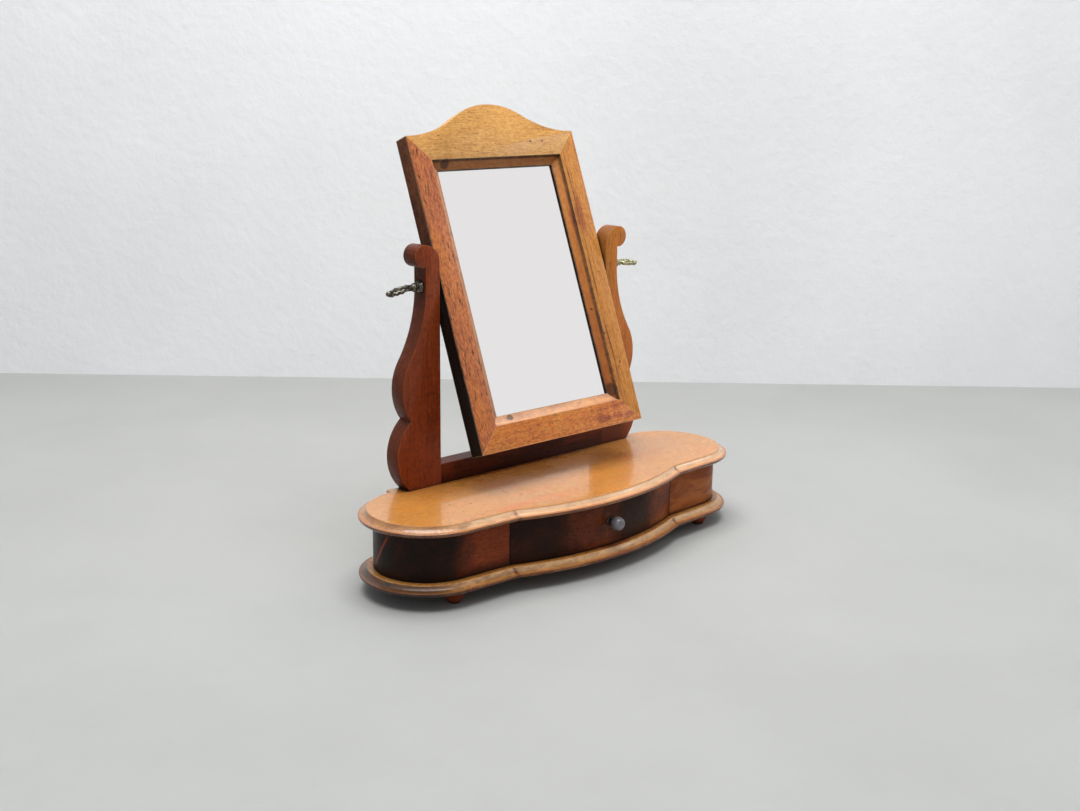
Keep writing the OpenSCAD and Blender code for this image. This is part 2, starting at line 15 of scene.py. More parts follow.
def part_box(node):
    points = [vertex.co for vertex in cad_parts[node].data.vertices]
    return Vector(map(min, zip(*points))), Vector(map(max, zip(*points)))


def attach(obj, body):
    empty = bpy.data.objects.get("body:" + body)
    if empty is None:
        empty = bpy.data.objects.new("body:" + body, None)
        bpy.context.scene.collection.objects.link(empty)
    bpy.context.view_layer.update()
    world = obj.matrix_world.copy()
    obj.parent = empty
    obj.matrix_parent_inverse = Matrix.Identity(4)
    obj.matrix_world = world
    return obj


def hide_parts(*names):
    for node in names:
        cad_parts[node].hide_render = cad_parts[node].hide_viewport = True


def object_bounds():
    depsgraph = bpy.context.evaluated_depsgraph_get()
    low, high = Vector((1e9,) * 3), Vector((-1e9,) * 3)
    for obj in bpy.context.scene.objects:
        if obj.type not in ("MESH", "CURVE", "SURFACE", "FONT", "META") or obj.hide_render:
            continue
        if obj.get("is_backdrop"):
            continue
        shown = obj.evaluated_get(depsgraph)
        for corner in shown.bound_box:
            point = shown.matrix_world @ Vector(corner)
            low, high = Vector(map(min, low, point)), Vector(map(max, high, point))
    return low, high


bl_info = {
    "name": "Table Dressing Mirror",
    "version": (1, 0, 0),
    "blender": (4, 5, 0),
    "location": "View3D > Sidebar > Dressing Mirror",
    "description": "Finishes a tilting table mirror on a bow fronted base with a drawer",
    "category": "Object",
}

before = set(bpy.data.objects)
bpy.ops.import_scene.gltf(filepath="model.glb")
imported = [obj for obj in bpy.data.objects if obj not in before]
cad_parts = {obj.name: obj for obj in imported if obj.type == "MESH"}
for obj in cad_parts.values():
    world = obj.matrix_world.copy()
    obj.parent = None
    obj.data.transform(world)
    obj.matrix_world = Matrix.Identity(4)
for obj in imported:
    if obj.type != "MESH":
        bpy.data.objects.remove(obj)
MM = 0.001
SAME = 2e-6  # vertices nearer than this are one
# faces that meet at less than FLAT are one, edges past SHARP are worn round, and edges of the boards past CRISP show
FLAT, SHARP, CRISP = (radians(v) for v in (0.4, 28, 40))
UP = Vector((0, 0, 1))
BOARD_LOW, BOARD_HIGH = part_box("top_board")
FLOOR_LOW, FLOOR_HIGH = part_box("bottom_board")
BACK, LOBE_BACK = 18 * MM, 18.3 * MM  # the boards' rear edge and the lobes' rearmost points, behind the uprights
STAND_Y = BOARD_HIGH.y - BACK
DRAWER_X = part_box("drawer_front")[1].x
# the dark on the right screw's collar next to the upright is painted shade
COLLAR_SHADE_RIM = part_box("ring_screw_right")[1].x - 34.9 * MM  # where the dark of the right screw's collar ends
PIVOT = sum(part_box("pivot_bush_left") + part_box("pivot_bush_right"), Vector()) / 4
LEAN = radians(21.3)
LEVEL = Matrix.Rotation(LEAN, 3, "X")  # stands the leaning frame upright
FRAME_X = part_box("frame_top_rail")[1].x
# the mirror frame: from the pivot up and down to its outer edges, and its members' flat band and whole width
FRAME_UP, FRAME_DOWN, BAND, MEMBER = 142.6 * MM, 166.9 * MM, 24.2 * MM, 33.4 * MM


# ---- settings


def colour(name, words, rgb):
    """A colour setting, from a colour as a screen shows it."""
    linear = [c / 12.92 if c <= 0.04045 else ((c + 0.055) / 1.055) ** 2.4 for c in (v / 255 for v in rgb)]
    return FloatVectorProperty(name=name, description=words, default=linear, size=3, min=0, max=1, subtype="COLOR")


def length(name, words, mm, low=0.0, high=1000.0):
    """A length setting in metres, from millimetres."""
    return FloatProperty(name=name, description=words, default=mm * MM, min=low * MM, max=high * MM,
                         subtype="DISTANCE", unit="LENGTH")


def factor(name, words, value, high=1.0):
    """A setting from 0 to high."""
    return FloatProperty(name=name, description=words, default=value, min=0, max=high, subtype="FACTOR")


def power(name, words, watts):
    return FloatProperty(name=name, description=words, default=watts, min=0, unit="POWER")


def angle(name, words, degrees):
    return FloatProperty(name=name, description=words, default=radians(degrees), subtype="ANGLE",
                         unit="ROTATION")


class BoardSettings(bpy.types.PropertyGroup):
    lobe: length("Lobe radius", "Radius of the lobes at the ends of the boards", 64.5)
    bow_reach: length("Bow reach", "How far the bow stands ahead of the uprights", 135)
    notch: length("Notch", "Half width of the bow, out to the notches", 109.7)
    notch_reach: length("Notch reach", "How far the notches stand ahead of the uprights", 113.6)
    cove_w: length("Cove width", "Width of the hollow in the moulded edge", 7)
    cove_d: length("Cove depth", "Depth of the hollow in the moulded edge", 4.9)
    cove_lip: length("Lip", "Flat lip outside the hollow", 0.8)
    cove_step: length("Step", "Small step between the hollow and the top", 0.6)
    nose_r: length("Nose radius", "Radius of the rounding under the lip", 3)
    nose_h: length("Nose height", "Height above the underside at which that rounding ends", 2.6)
    wear: length("Lip wear", "Rounding of the sharp outer lip", 0.3)
    steps: IntProperty(name="Steps", description="Points along each lobe", default=72, min=24, max=200)


class JoinerySettings(bpy.types.PropertyGroup):
    frame_edge: length("Frame edges", "Rounding of the mirror frame's edges", 0.6)
    upright_edge: length("Upright edges", "Rounding of the uprights' edges", 0.9)
    case_edge: length("Case edges", "Rounding of the case's and drawer's edges", 0.4)
    mitre_edge: length("Mitre edges", "Rounding at the mitres, which shows as a fine line", 0.12)
    silver: length("Silver depth", "How deep in the glass the silver seems to lie", 0.8)


class TurningSettings(bpy.types.PropertyGroup):
    foot_r: length("Foot radius", "Radius of a foot at its upper rim", 11.5)
    foot_toe: length("Toe radius", "Radius of a foot where it stands", 5.5)
    foot_collar: length("Collar", "Height of the collar between foot and board", 2)
    knob_d: length("Knob diameter", "Diameter of the drawer knob", 13.4)
    spread: angle("Turn spread", "How far repeated parts differ in their turn", 70)
    seed: IntProperty(name="Seed", description="Picks the turns of the repeated parts", default=11)
    facets: IntProperty(name="Facets", description="Points round each turned piece", default=64, min=16, max=128)


class RingScrewSettings(bpy.types.PropertyGroup):
    wire: length("Ring thickness", "Thickness of the cast ring", 4.3)
    ring_w: length("Ring width", "Width over the ring", 14)
    ring_l: length("Ring length", "Length over the ring", 24)
    hub_l: length("Hub length", "Length of the beaded hub, out to the ring", 12.5)
    collar: length("Collar radius", "Radius of the lobed plate that presses on the upright", 6.4)
    tip: length("Tip bead", "Radius of the bead at the ring's tip", 2.4)
    beads: factor("Beads", "Height of the cast beads along the left ring", 0.18, 0.3)
    worn_beads: factor("Worn beads", "Height of the rubbed beads along the right ring", 0.03, 0.3)
    left_bend: factor("Left bend", "How far the left ring is bent down, per length", 0.13, 0.2)
    right_bend: factor("Right bend", "How far the right ring is bent down, per length", 0.07, 0.2)
    left_turn: angle("Left turn", "Turn of the left ring, front edge raised", 40)
    right_turn: angle("Right turn", "Turn of the right ring, front edge raised", -9)


class FinishSettings(bpy.types.PropertyGroup):
    honey: colour("Honey", "Waxed tops that the light has bleached", (192, 137, 65))
    straw: colour("Straw", "Bleached yellow wood", (214, 163, 89))
    gold: colour("Gold", "Lightest wood of the mirror frame", (208, 142, 62))
    amber: colour("Amber", "Orange wood of the frame's right and lower members", (206, 124, 50))
    # orange also paints the highlight along the boards' lips and the light on the case's right end
    orange: colour("Orange", "Orange brown wood", (172, 98, 46))
    rose: colour("Rose", "Pinkish brown wood of the left stile", (186, 110, 62))
    # russet also paints the shade on the slopes of the top rail and right stile
    russet: colour("Russet", "Red brown wood", (150, 66, 28))
    # umber also paints the shade under the boards' lips, with patina
    umber: colour("Umber", "Dark red brown wood", (86, 33, 13))
    # soot also paints shade: in hollows and corners, under the boards, in the frame's quirks and at the glass, in the
    # knob's neck and on the right screw's collar
    soot: colour("Soot", "Black patina in hollows and on the case", (24, 17, 13))
    # cream also paints the sheen on the frame's slopes and the boards' hollows
    cream: colour("Cream", "Worn edges", (228, 192, 154))
    brass: colour("Brass", "Aged brass", (186, 182, 142))
    wear: length("Wear", "Width of the worn edges", 1.5)


class StageSettings(bpy.types.PropertyGroup):
    floor: colour("Floor", "Colour of the floor", (160, 161, 159))
    wall: colour("Wall", "Colour of the wall", (243, 244, 246))
    lamp: power("Lamp", "Power of the lamp overhead", 69)
    window: power("Window", "Power of the light from the right", 72)
    fill: factor("Fill", "Strength of the light from all round", 0.38)


GROUPS = {
    "mirror_boards": BoardSettings,
    "mirror_joinery": JoinerySettings,
    "mirror_turnings": TurningSettings,
    "mirror_rings": RingScrewSettings,
    "mirror_finish": FinishSettings,
    "mirror_stage": StageSettings,
}


def settings(name):
    return getattr(bpy.context.scene, name)


# ---- materials


class Amount:
    """A number that a material's nodes work out, which takes part in sums like any other."""

    def __init__(self, shade, socket):
        self.shade, self.socket = shade, socket

    def __abs__(self):
        return self.shade.calc("ABSOLUTE", self)

    def __rsub__(self, other):
        return self.shade.calc("SUBTRACT", other, self)


for sign, kind in (("add", "ADD"), ("sub", "SUBTRACT"), ("mul", "MULTIPLY"), ("truediv", "DIVIDE"), ("pow", "POWER")):
    setattr(Amount, "__%s__" % sign, lambda self, other, kind=kind: self.shade.calc(kind, self, other))


def node(tree, kind, inputs=None, **fixed):
    """A new node. Each of its inputs gets a link or a fixed value, and None leaves one alone."""
    made = tree.nodes.new(kind)
    for key, value in fixed.items():
        setattr(made, key, value)
    for key, value in (inputs or {}).items():
        socket = made.inputs[key]
        if isinstance(value, Amount):
            value = value.socket
        if isinstance(value, bpy.types.NodeSocket):
            tree.links.new(value, socket)
        elif isinstance(value, (int, float, str)):
            socket.default_value = value
        elif value is not None:
            value = tuple(value)
            socket.default_value = value + (1.0,) if len(socket.default_value) > len(value) else value
    return made


def step(tree, kind, inputs=None, output=0, **fixed):
    """One output of a new node."""
    return node(tree, kind, inputs, **fixed).outputs[output]


class Shade:
    """Builds one procedural material, a node at a time, on Object coordinates. Colours go by their settings' names."""

    def __init__(self, name):
        self.material = bpy.data.materials.new(name)
        self.material.use_nodes = True
        self.tree = self.material.node_tree
        self.tree.nodes.clear()
        self.hues = settings("mirror_finish")
        where = node(self.tree, "ShaderNodeTexCoord").outputs
        self.place, self.facing = where["Object"], where["Normal"]

    def step(self, kind, inputs=None, output=0, **fixed):
        return step(self.tree, kind, inputs, output, **fixed)

    def amount(self, kind, inputs, output=0, **fixed):
        return Amount(self, self.step(kind, inputs, output, **fixed))

    def surface(self, **inputs):
        """The surface shader. An input's name has its spaces written as _."""
        inputs = {key.replace("_", " "): value for key, value in inputs.items()}
        return self.step("ShaderNodeBsdfPrincipled", inputs)

    def shown(self, shader):
        """The material, with that shader on its surface."""
        node(self.tree, "ShaderNodeOutputMaterial", {"Surface": shader})
        return self.material

    def hue(self, value):
        """A colour as it is, or the one of that name, or the middle of several named ones."""
        if not isinstance(value, str):
            return value
        named = [getattr(self.hues, name) for name in value.split()]
        return [sum(parts) / len(named) for parts in zip(*named)]

    def moved(self, turn=(0, 0, 0), scale=(1, 1, 1), shift=(0, 0, 0), vector=None):
        return self.step("ShaderNodeMapping", {"Vector": vector or self.place, "Rotation": turn, "Scale": scale,
                                               "Location": shift})

    def noise(self, vector, scale, detail=3.0, rough=0.5, bend=0.0, stretch=None):
        if stretch:
            vector = self.moved(scale=stretch, vector=vector)
        return self.amount("ShaderNodeTexNoise", {"Vector": vector, "Scale": scale, "Detail": detail,
                                                  "Roughness": rough, "Distortion": bend})

    def spots(self, vector, scale, stretch, size, fade, shift=(0, 0, 0)):
        """1 on spots of that size, falling to 0 round them."""
        place = self.moved(scale=stretch, shift=shift, vector=vector)
        far = self.amount("ShaderNodeTexVoronoi", {"Vector": place, "Scale": scale}, "Distance")
        return self.band(far, size, fade)

    def band(self, value, low, high, to_low=0.0, to_high=1.0):
        """Rises smoothly from to_low to to_high while value goes from low to high."""
        return self.amount("ShaderNodeMapRange", {"Value": value, "From Min": low, "From Max": high,
                                                  "To Min": to_low, "To Max": to_high},
                           interpolation_type="SMOOTHSTEP")

    def calc(self, kind, a, b=0.0, clamp=False):
        return self.amount("ShaderNodeMath", {0: a, 1: b}, operation=kind, use_clamp=clamp)

    def most(self, first, *others):
        """The greatest of several amounts."""
        for other in others:
            first = self.calc("MAXIMUM", first, other)
        return first

    def mix(self, share, a, b, kind="MIX"):
        return self.step("ShaderNodeMix", {"Factor": share, 6: self.hue(a), 7: self.hue(b)}, 2, data_type="RGBA",
                         blend_type=kind)

    def axes(self, vector=None):
        outputs = node(self.tree, "ShaderNodeSeparateXYZ", {0: vector or self.place}).outputs
        return [Amount(self, output) for output in outputs]

    def edges(self, width):
        """0 on flat faces, rising to 1 at sharp or rounded edges of about this width."""
        bevel = self.step("ShaderNodeBevel", {"Radius": width}, samples=6)
        flat = self.step("ShaderNodeNewGeometry", output="Normal")
        return self.band(self.amount("ShaderNodeVectorMath", {0: bevel, 1: flat}, "Value", operation="DOT_PRODUCT"),
                         0.995, 0.86)

    def hollow(self, reach):
        """1 in the open, falling to 0 in corners and hollows."""
        return self.amount("ShaderNodeAmbientOcclusion", {"Distance": reach}, "AO", samples=8)

    def bump(self, height, depth, strength=1.0, normal=None):
        return self.step("ShaderNodeBump", {"Height": height, "Distance": depth, "Strength": strength,
                                            "Normal": normal})


def wood(name, hues, grain, lean, figure, pores, grime_and_shade, worn, flecks, rough, wax, spec, mottle, seed, edge="cream",
         patina=None, touch=None):
    """Old polished wood in dark, middle and light hues. grain is the axis the fibres follow and lean turns that axis
    about X. patina gets the shade and returns how far each place goes over to the dark patina, which for the case and
    the rail also holds painted shade. touch gets the shade and the colour so far and returns the colour with a piece's
    own marks and, on the case's right end, painted light."""
    s = Shade(name)
    dark, mid, light = hues.split()
    base = s.moved(turn=(lean, 0, 0)) if lean else s.place
    along = s.moved(turn=(0, pi / 2 if grain == "z" else 0, 0), shift=(seed, seed * 0.7, -seed * 1.3),
                    vector=base)
    streak = s.noise(along, 3.0, 4, 0.55, 0.6, (2.2, 26, 26))
    cloud = s.noise(along, 11.0, 3, 0.5, 0.4, (1, 2.2, 2.2))
    fibre = s.noise(along, 2.0, 3, 0.6, 0.0, (14, 420, 420))
    pore = s.noise(along, 1.0, 2, 0.5, 0.0, (120, 620, 620))
    curl = s.noise(along, 1.6, 2, 0.5, 1.2, (60, 9, 9))
    tone = (streak - 0.5) * (0.55 * figure) + 0.275 + cloud * 0.75 + (curl - 0.5) * (0.22 * figure)
    body = s.mix(s.band(tone, 0.42, 0.62), dark, mid)
    body = s.mix(s.band(tone, 0.58, 0.92), body, light)
    body = s.mix(s.band(fibre, 0.3, 0.72, 0.30, 0.0), body, dark, "MULTIPLY")
    fleck = s.noise(along, 230.0, 4, 0.7, 0.4, (1, 2.2, 2.2))
    body = s.mix(s.band(fleck, 0.40, 0.66, 0.0, mottle), body, dark, "MULTIPLY")
    body = s.mix(s.band(fleck, 0.46, 0.30, 0.0, mottle * 0.8), body, light)
    pits = s.band(pore, 0.56, 0.66) * s.band(s.noise(along, 24.0, 3, 0.6, 0.3), 0.36, 0.66, 0.25, 1.0)
    body = s.mix(pits * pores, body, "soot")
    holes = s.most(s.spots(along, 58.0, (0.75, 1, 1), 0.085, 0.05),
                   s.spots(along, 150.0, (0.5, 1, 1), 0.10, 0.05, (0.3, 0.1, 0.2)) * 0.8)
    body = s.mix(holes * flecks, body, "soot")
    if patina:
        share = patina(s) * s.band(s.noise(along, 30.0, 4, 0.62, 0.2), 0.2, 0.62, 0.86, 1.0)
        body = s.mix(share, body, "soot")
        # old patina is matt
        spec, wax = s.band(share, 0.2, 0.9, spec, min(spec, 0.1)), s.band(share, 0.2, 0.9, wax, 0.0)
    if touch:
        body = touch(s, body)
    # soiling and painted shade: hollows and corners darkened by ambient occlusion
    open_air = s.hollow(0.006)
    body = s.mix(s.band(open_air, 0.82, 0.3) * grime_and_shade, body, "soot")
    rub = s.band(s.noise(s.place, 70.0, 4, 0.65, 0.2), 0.30, 0.62, 0.25, 1.0)
    rubbed = s.edges(s.hues.wear) * s.band(open_air, 0.55, 0.9) * rub
    shine = s.band(s.noise(s.place, 16.0, 4, 0.6), 0.25, 0.75, rough - 0.09, rough + 0.12) + s.most(pits, holes) * 0.2
    fine = s.bump(fibre - pits * 1.6, 0.00006)
    wavy = s.bump(s.noise(along, 36.0, 2, 0.5, 0.0, (1, 2, 2)), 0.0004, 0.35, fine)
    return s.shown(s.surface(Base_Color=s.mix(rubbed * worn, body, edge), Specular_IOR_Level=spec, Coat_Weight=wax,
                             Roughness=s.calc("ADD", shine, s.band(open_air, 0.85, 0.3) * 0.25, True),
                             Coat_Roughness=max(0.05, rough - 0.2), Coat_IOR=1.45,
                             Normal=s.bump(holes * -1.0, 0.0006, 0.8, wavy)))


def metal(name, tint, dull, rough, collar=None):
    """Cast metal with tarnish in its hollows and bright high spots. collar is how far out it is painted nearly black,
    as shade next to the upright.
    """
    s = Shade(name)
    tint = s.hue(tint)
    tarnish = s.noise(s.place, 260.0, 5, 0.65, 0.5)
    open_air = s.hollow(0.003)
    body = s.mix(s.band(tarnish, 0.35, 0.66), tint, dull)
    body = s.mix(s.band(open_air, 0.85, 0.35), body, "soot")
    bright = s.edges(0.0009) * s.band(open_air, 0.5, 0.9)
    body = s.mix(bright * 0.6, body, [min(1, c * 1.9) for c in tint])
    # painted shade on the collar next to the upright
    if collar:
        body = s.mix(s.band(abs(s.axes()[0]), collar, collar + 0.0025), "soot", body)
    return s.shown(s.surface(Base_Color=body, Metallic=1.0,
                             Roughness=s.band(tarnish, 0.3, 0.7, rough - 0.08, rough + 0.16),
                             Normal=s.bump(s.noise(s.place, 700.0, 3, 0.6), 0.00012, 0.7)))


def satin_black(name):
    """Old black lacquer on turned wood, with painted shade in the neck and dust in its hollows."""
    s = Shade(name)
    cloud = s.noise(s.place, 180.0, 4, 0.6)
    body = s.mix(s.band(cloud, 0.35, 0.7), (0.10, 0.094, 0.106), (0.19, 0.18, 0.20))
    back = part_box("drawer_knob")[1].y
    # painted shade in the neck, next to the drawer front
    body = s.mix(s.band(s.axes()[1], back - 0.0065, back - 0.0045, 0.0, 0.9), body, "soot")
    turned = s.bump(s.noise(s.place, 1.0, 3, 0.6, 0.0, (60, 60, 900)), 0.00008, 0.6)
    return s.shown(s.surface(Base_Color=s.mix(s.edges(0.0008) * 0.35, body, "umber"), Coat_Weight=0.35,
                             Roughness=s.band(cloud, 0.3, 0.7, 0.34, 0.5), Coat_Roughness=0.3, Normal=turned))


def silvered(name):
    """Silvered plate glass: a clear mirror with a faint cool tint, and a little foxing near its edges."""
    s = Shade(name)
    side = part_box("mirror_glass")[1].x
    rim = s.band(abs(s.axes()[0]), side - 0.012, side - 0.001)
    fox = s.band(s.noise(s.place, 420.0, 5, 0.7), 0.66, 0.76)
    return s.shown(s.surface(Base_Color=s.mix(fox * (rim * 0.35), (0.905, 0.905, 0.90), (0.30, 0.27, 0.23)),
                             Metallic=1.0, Roughness=s.band(s.noise(s.place, 30.0, 3, 0.6), 0.3, 0.7, 0.015, 0.05),
                             Coat_Weight=0.6, Coat_Roughness=0.02))


def ground(name, tint, scale, depth):
    """The shade and the surface shader of a plain floor or wall with a faint mottle."""
    s = Shade(name)
    body = s.mix(s.band(s.noise(s.place, scale, 5, 0.6), 0.3, 0.7), [c * 0.955 for c in tint],
                 [min(1, c * 1.035) for c in tint])
    rough = s.bump(s.noise(s.place, scale * 30, 3, 0.6), depth, 0.4)
    return s, s.surface(Base_Color=body, Roughness=0.72, Normal=rough)


def case_patina_and_shade(s):
    """Black at the left end of the case and brown at the right end, with painted shade along its upper and lower
    edges, under the top board and over the bottom board.
    """
    x, _, z = s.axes()
    away = abs(x) + (s.noise(s.place, 26.0, 3, 0.6, 0.5) - 0.5) * 0.03
    return s.most(s.band(x, -0.02, -0.10) * s.band(away, 0.138, 0.180),
                  s.band(x, 0.05, 0.10) * s.band(abs(x), 0.15, 0.19, 0.12, 0.45),
                  # painted shade along the upper and lower edges, under the top board and over the bottom board
                  s.band(z, FLOOR_HIGH.z + 0.014, FLOOR_HIGH.z + 0.001, 0.0, 0.85),
                  s.band(z, BOARD_LOW.z - 0.008, BOARD_LOW.z, 0.0, 0.6))


def scratch_and_lit_end(s, body):
    """One light diagonal scratched line on the left end wall; the right end wall is painted paler, as painted light
    from the right. Soiling beside the drawer.
    """
    x, y, z = s.axes()
    # it slopes by 1.47 across the wall and would meet the middle plane 29.1 mm up
    line = s.band(abs(y * 1.47 + (z - 0.0291)), 0.0034, 0.0010) * s.band(x, -0.19, -0.20)
    ends = s.band(z, 0.026, 0.034) * s.band(z, 0.066, 0.058)
    # painted light: the right end wall painted paler orange, where the light from the right falls
    pale = s.band(s.noise(s.place, 22.0, 3, 0.6, 0.4, (1, 1, 5)), 0.36, 0.6, 0.3, 0.95)
    body = s.mix(s.band(x, 0.09, 0.12) * pale, body, "orange")
    body = s.mix(s.band(abs(x), DRAWER_X + 0.0018, DRAWER_X + 0.0008, 0.0, 0.9), body, "soot")
    return s.mix(line * ends * 0.75, body, "russet")


def drawer_patina(s):
    """Nearly black, but for the places beside the knob and to the right."""
    x = s.axes()[0]
    bare = s.most(s.band(abs(x + 0.022), 0.05, 0.008, 0.0, 0.6), s.band(x, 0.05, 0.085))
    return 0.95 - bare * s.band(s.noise(s.place, 30.0, 3, 0.6, 0.6), 0.3, 0.65, 0.3, 1.0)


def rail_patina_and_shade(s):
    """Darker towards the board: patina, with painted shade where the rail lies in the mirror's shadow."""
    # painted shade with patina, deepest next to the board
    return s.band(s.axes()[2], BOARD_HIGH.z + 0.022, BOARD_HIGH.z + 0.002, 0.25, 0.5)


def red_foot(s, body):
    """The right upright is redder towards the board and darkest at its foot, like the rail beside it."""
    x, _, z = s.axes()
    body = s.mix(s.band(z, BOARD_HIGH.z + 0.13, BOARD_HIGH.z + 0.05, 0.0, 0.75), body, "russet")
    foot = s.band(z, BOARD_HIGH.z + 0.07, BOARD_HIGH.z + 0.03) * s.band(x, 0.165, 0.135, 0.35, 0.95)
    return s.mix(foot, body, "umber")


def cut_sides(s):
    """Scroll cut sides, where the end grain has drunk the stain."""
    return (1.0 - s.band(abs(s.axes(s.facing)[1]), 0.5, 0.8)) * 0.6


def frame_sides(s):
    """Outer sides of the mirror frame, darker towards the bottom."""
    x, _, z = s.axes()
    return s.band(abs(x), FRAME_X - 0.0012, FRAME_X - 0.0004) * s.band(z, 0.17, 0.38, 1.2, 0.75)


def moulded(low, faded_and_sheen_hue, pale, sooty):
    """Marks of the moulded edge of the board whose underside is at low: dark rounding under the lip, part patina and
    part painted shade; a paler hollow, part paled wood and part painted sheen; a painted highlight along the lip;
    soiling to the left and at the notches."""
    def marks(s, body):
        b = settings("mirror_boards")
        lip = low + BOARD_HIGH.z - BOARD_LOW.z - b.cove_step - b.cove_d
        x, _, z = s.axes()
        dirt_and_light_noise = s.noise(s.place, 55.0, 5, 0.68, 0.4, (1, 1, 2.5))
        left = s.band(x, 0.02, -0.16)
        # dark under the lip: patina, with painted shade where it faces down, away from the light above
        depth = s.most(left, 0.95, s.band(z, low + 0.0026, low + 0.0006))
        nose_patina_and_shade = s.band(z, lip + 0.00025, lip - 0.00015) * depth
        body = s.mix(nose_patina_and_shade * s.band(dirt_and_light_noise, 0.35, 0.7, 0.97, 0.6), body, "umber")
        hollow = s.band(z, lip + 0.0002, lip + 0.0005) * s.band(z, low + 0.0087, low + 0.0079)
        # the hollow painted paler towards its upper, upward facing part: part paled wood, part painted sheen
        bleached = s.band(x, -0.155, -0.19, pale, pale * 0.25) * s.band(z, low + 0.0045, low + 0.0075, 0.5, 1.0)
        body = s.mix(hollow * bleached, body, faded_and_sheen_hue)
        sunk = s.band(z, low + 0.0083, low + 0.0076) * s.band(x, -0.155, -0.205, 0.0, sooty)
        body = s.mix(sunk * s.band(dirt_and_light_noise, 0.3, 0.65, 1.0, 0.8), body, "soot")
        stained = s.band(dirt_and_light_noise, 0.44, 0.64, 0.12, 0.85) * (left * 0.3 + (0.25 + 0.2 * sooty))
        body = s.mix(hollow * stained, body, "umber")
        notch = s.band(abs(abs(x) - b.notch), 0.003, 0.0006) * s.band(z, low + 0.0088, low + 0.0076)
        body = s.mix(notch * s.band(dirt_and_light_noise, 0.38, 0.6, 0.35, 0.85), body, "umber")
        # a painted highlight along the lip, in orange
        rim = s.band(z, lip - 0.0002, lip) * s.band(z, lip + 0.0004, lip + 0.0001)
        shine = s.band(dirt_and_light_noise, 0.62, 0.45, 0.2, 0.7) * s.band(left, 1.0, 0.3, 0.6, 1.0)
        return s.mix(rim * shine, body, "orange")
    return marks


def framed(side, slope, share, line, slope_shade=1.0, stain=None, groove=False):
    """Marks of a frame member: its hollow slope in another colour, which is painted light, a painted sheen where paler
    and painted shade where darker; a line of soiling and painted shade on each side of it; perhaps a stain (place
    along it, mm from the outer edge, half sizes) and a wandering groove."""
    def marks(s, body):
        x, _, z = s.axes(s.moved(turn=(LEAN, 0, 0), shift=-(LEVEL @ PIVOT)))
        # how far in from the member's outer edge
        u = FRAME_X - abs(x) if side == "x" else FRAME_UP - z if side == "top" else z + FRAME_DOWN
        dirt_and_light_noise = s.noise(s.place, 90.0, 4, 0.65, 0.3)
        hollow = s.band(u, BAND, BAND + 0.0006)
        if groove:
            hollow = hollow * s.band(z, 0.13, -0.10, 0.45, 1.2)
        # the slope's colour is painted light: a painted sheen in cream on the bottom rail and left stile, painted
        # shade in russet on the top rail and right stile
        body = s.mix(hollow * s.band(dirt_and_light_noise, 0.3, 0.7, share * 0.75, share), body, [c * slope_shade for c in s.hue(slope)])
        # a dark line in the quirk and at the glass: soiling and painted shade
        quirk = s.band(u, BAND - 0.0004, BAND) * s.band(u, BAND + 0.0026, BAND + 0.0007)
        glass = s.band(u, MEMBER - 0.0012, MEMBER - 0.0003)
        dirt_and_shade_lines = s.most(quirk * line, glass * min(1, line * 1.6))
        body = s.mix(dirt_and_shade_lines * s.band(dirt_and_light_noise, 0.3, 0.6, 0.65, 0.97), body, "soot")
        if groove:
            # 19.2 mm in from the edge, and wandering by 3 mm
            off = abs(u + (s.noise(s.place, 14.0, 2, 0.5) - 0.5) * 0.006 - 0.0192)
            broken = s.band(s.noise(s.place, 60.0, 3, 0.6, 0.0, (1, 1, 0.3)), 0.42, 0.55, 0.2, 0.8)
            body = s.mix(s.band(off, 0.0013, 0.0003) * broken, body, "umber")
        if stain:
            at, deep, wide, tall = (v * MM for v in stain)
            off = (((z if side == "x" else x) - at) / wide) ** 2.0 + ((u - deep) / tall) ** 2.0
            ragged = off + s.noise(s.place, 260.0, 3, 0.6) * 1.2
            body = s.mix(s.band(ragged, 1.6, 1.1, 0.0, 0.7), body, "soot")
        return body
    return marks


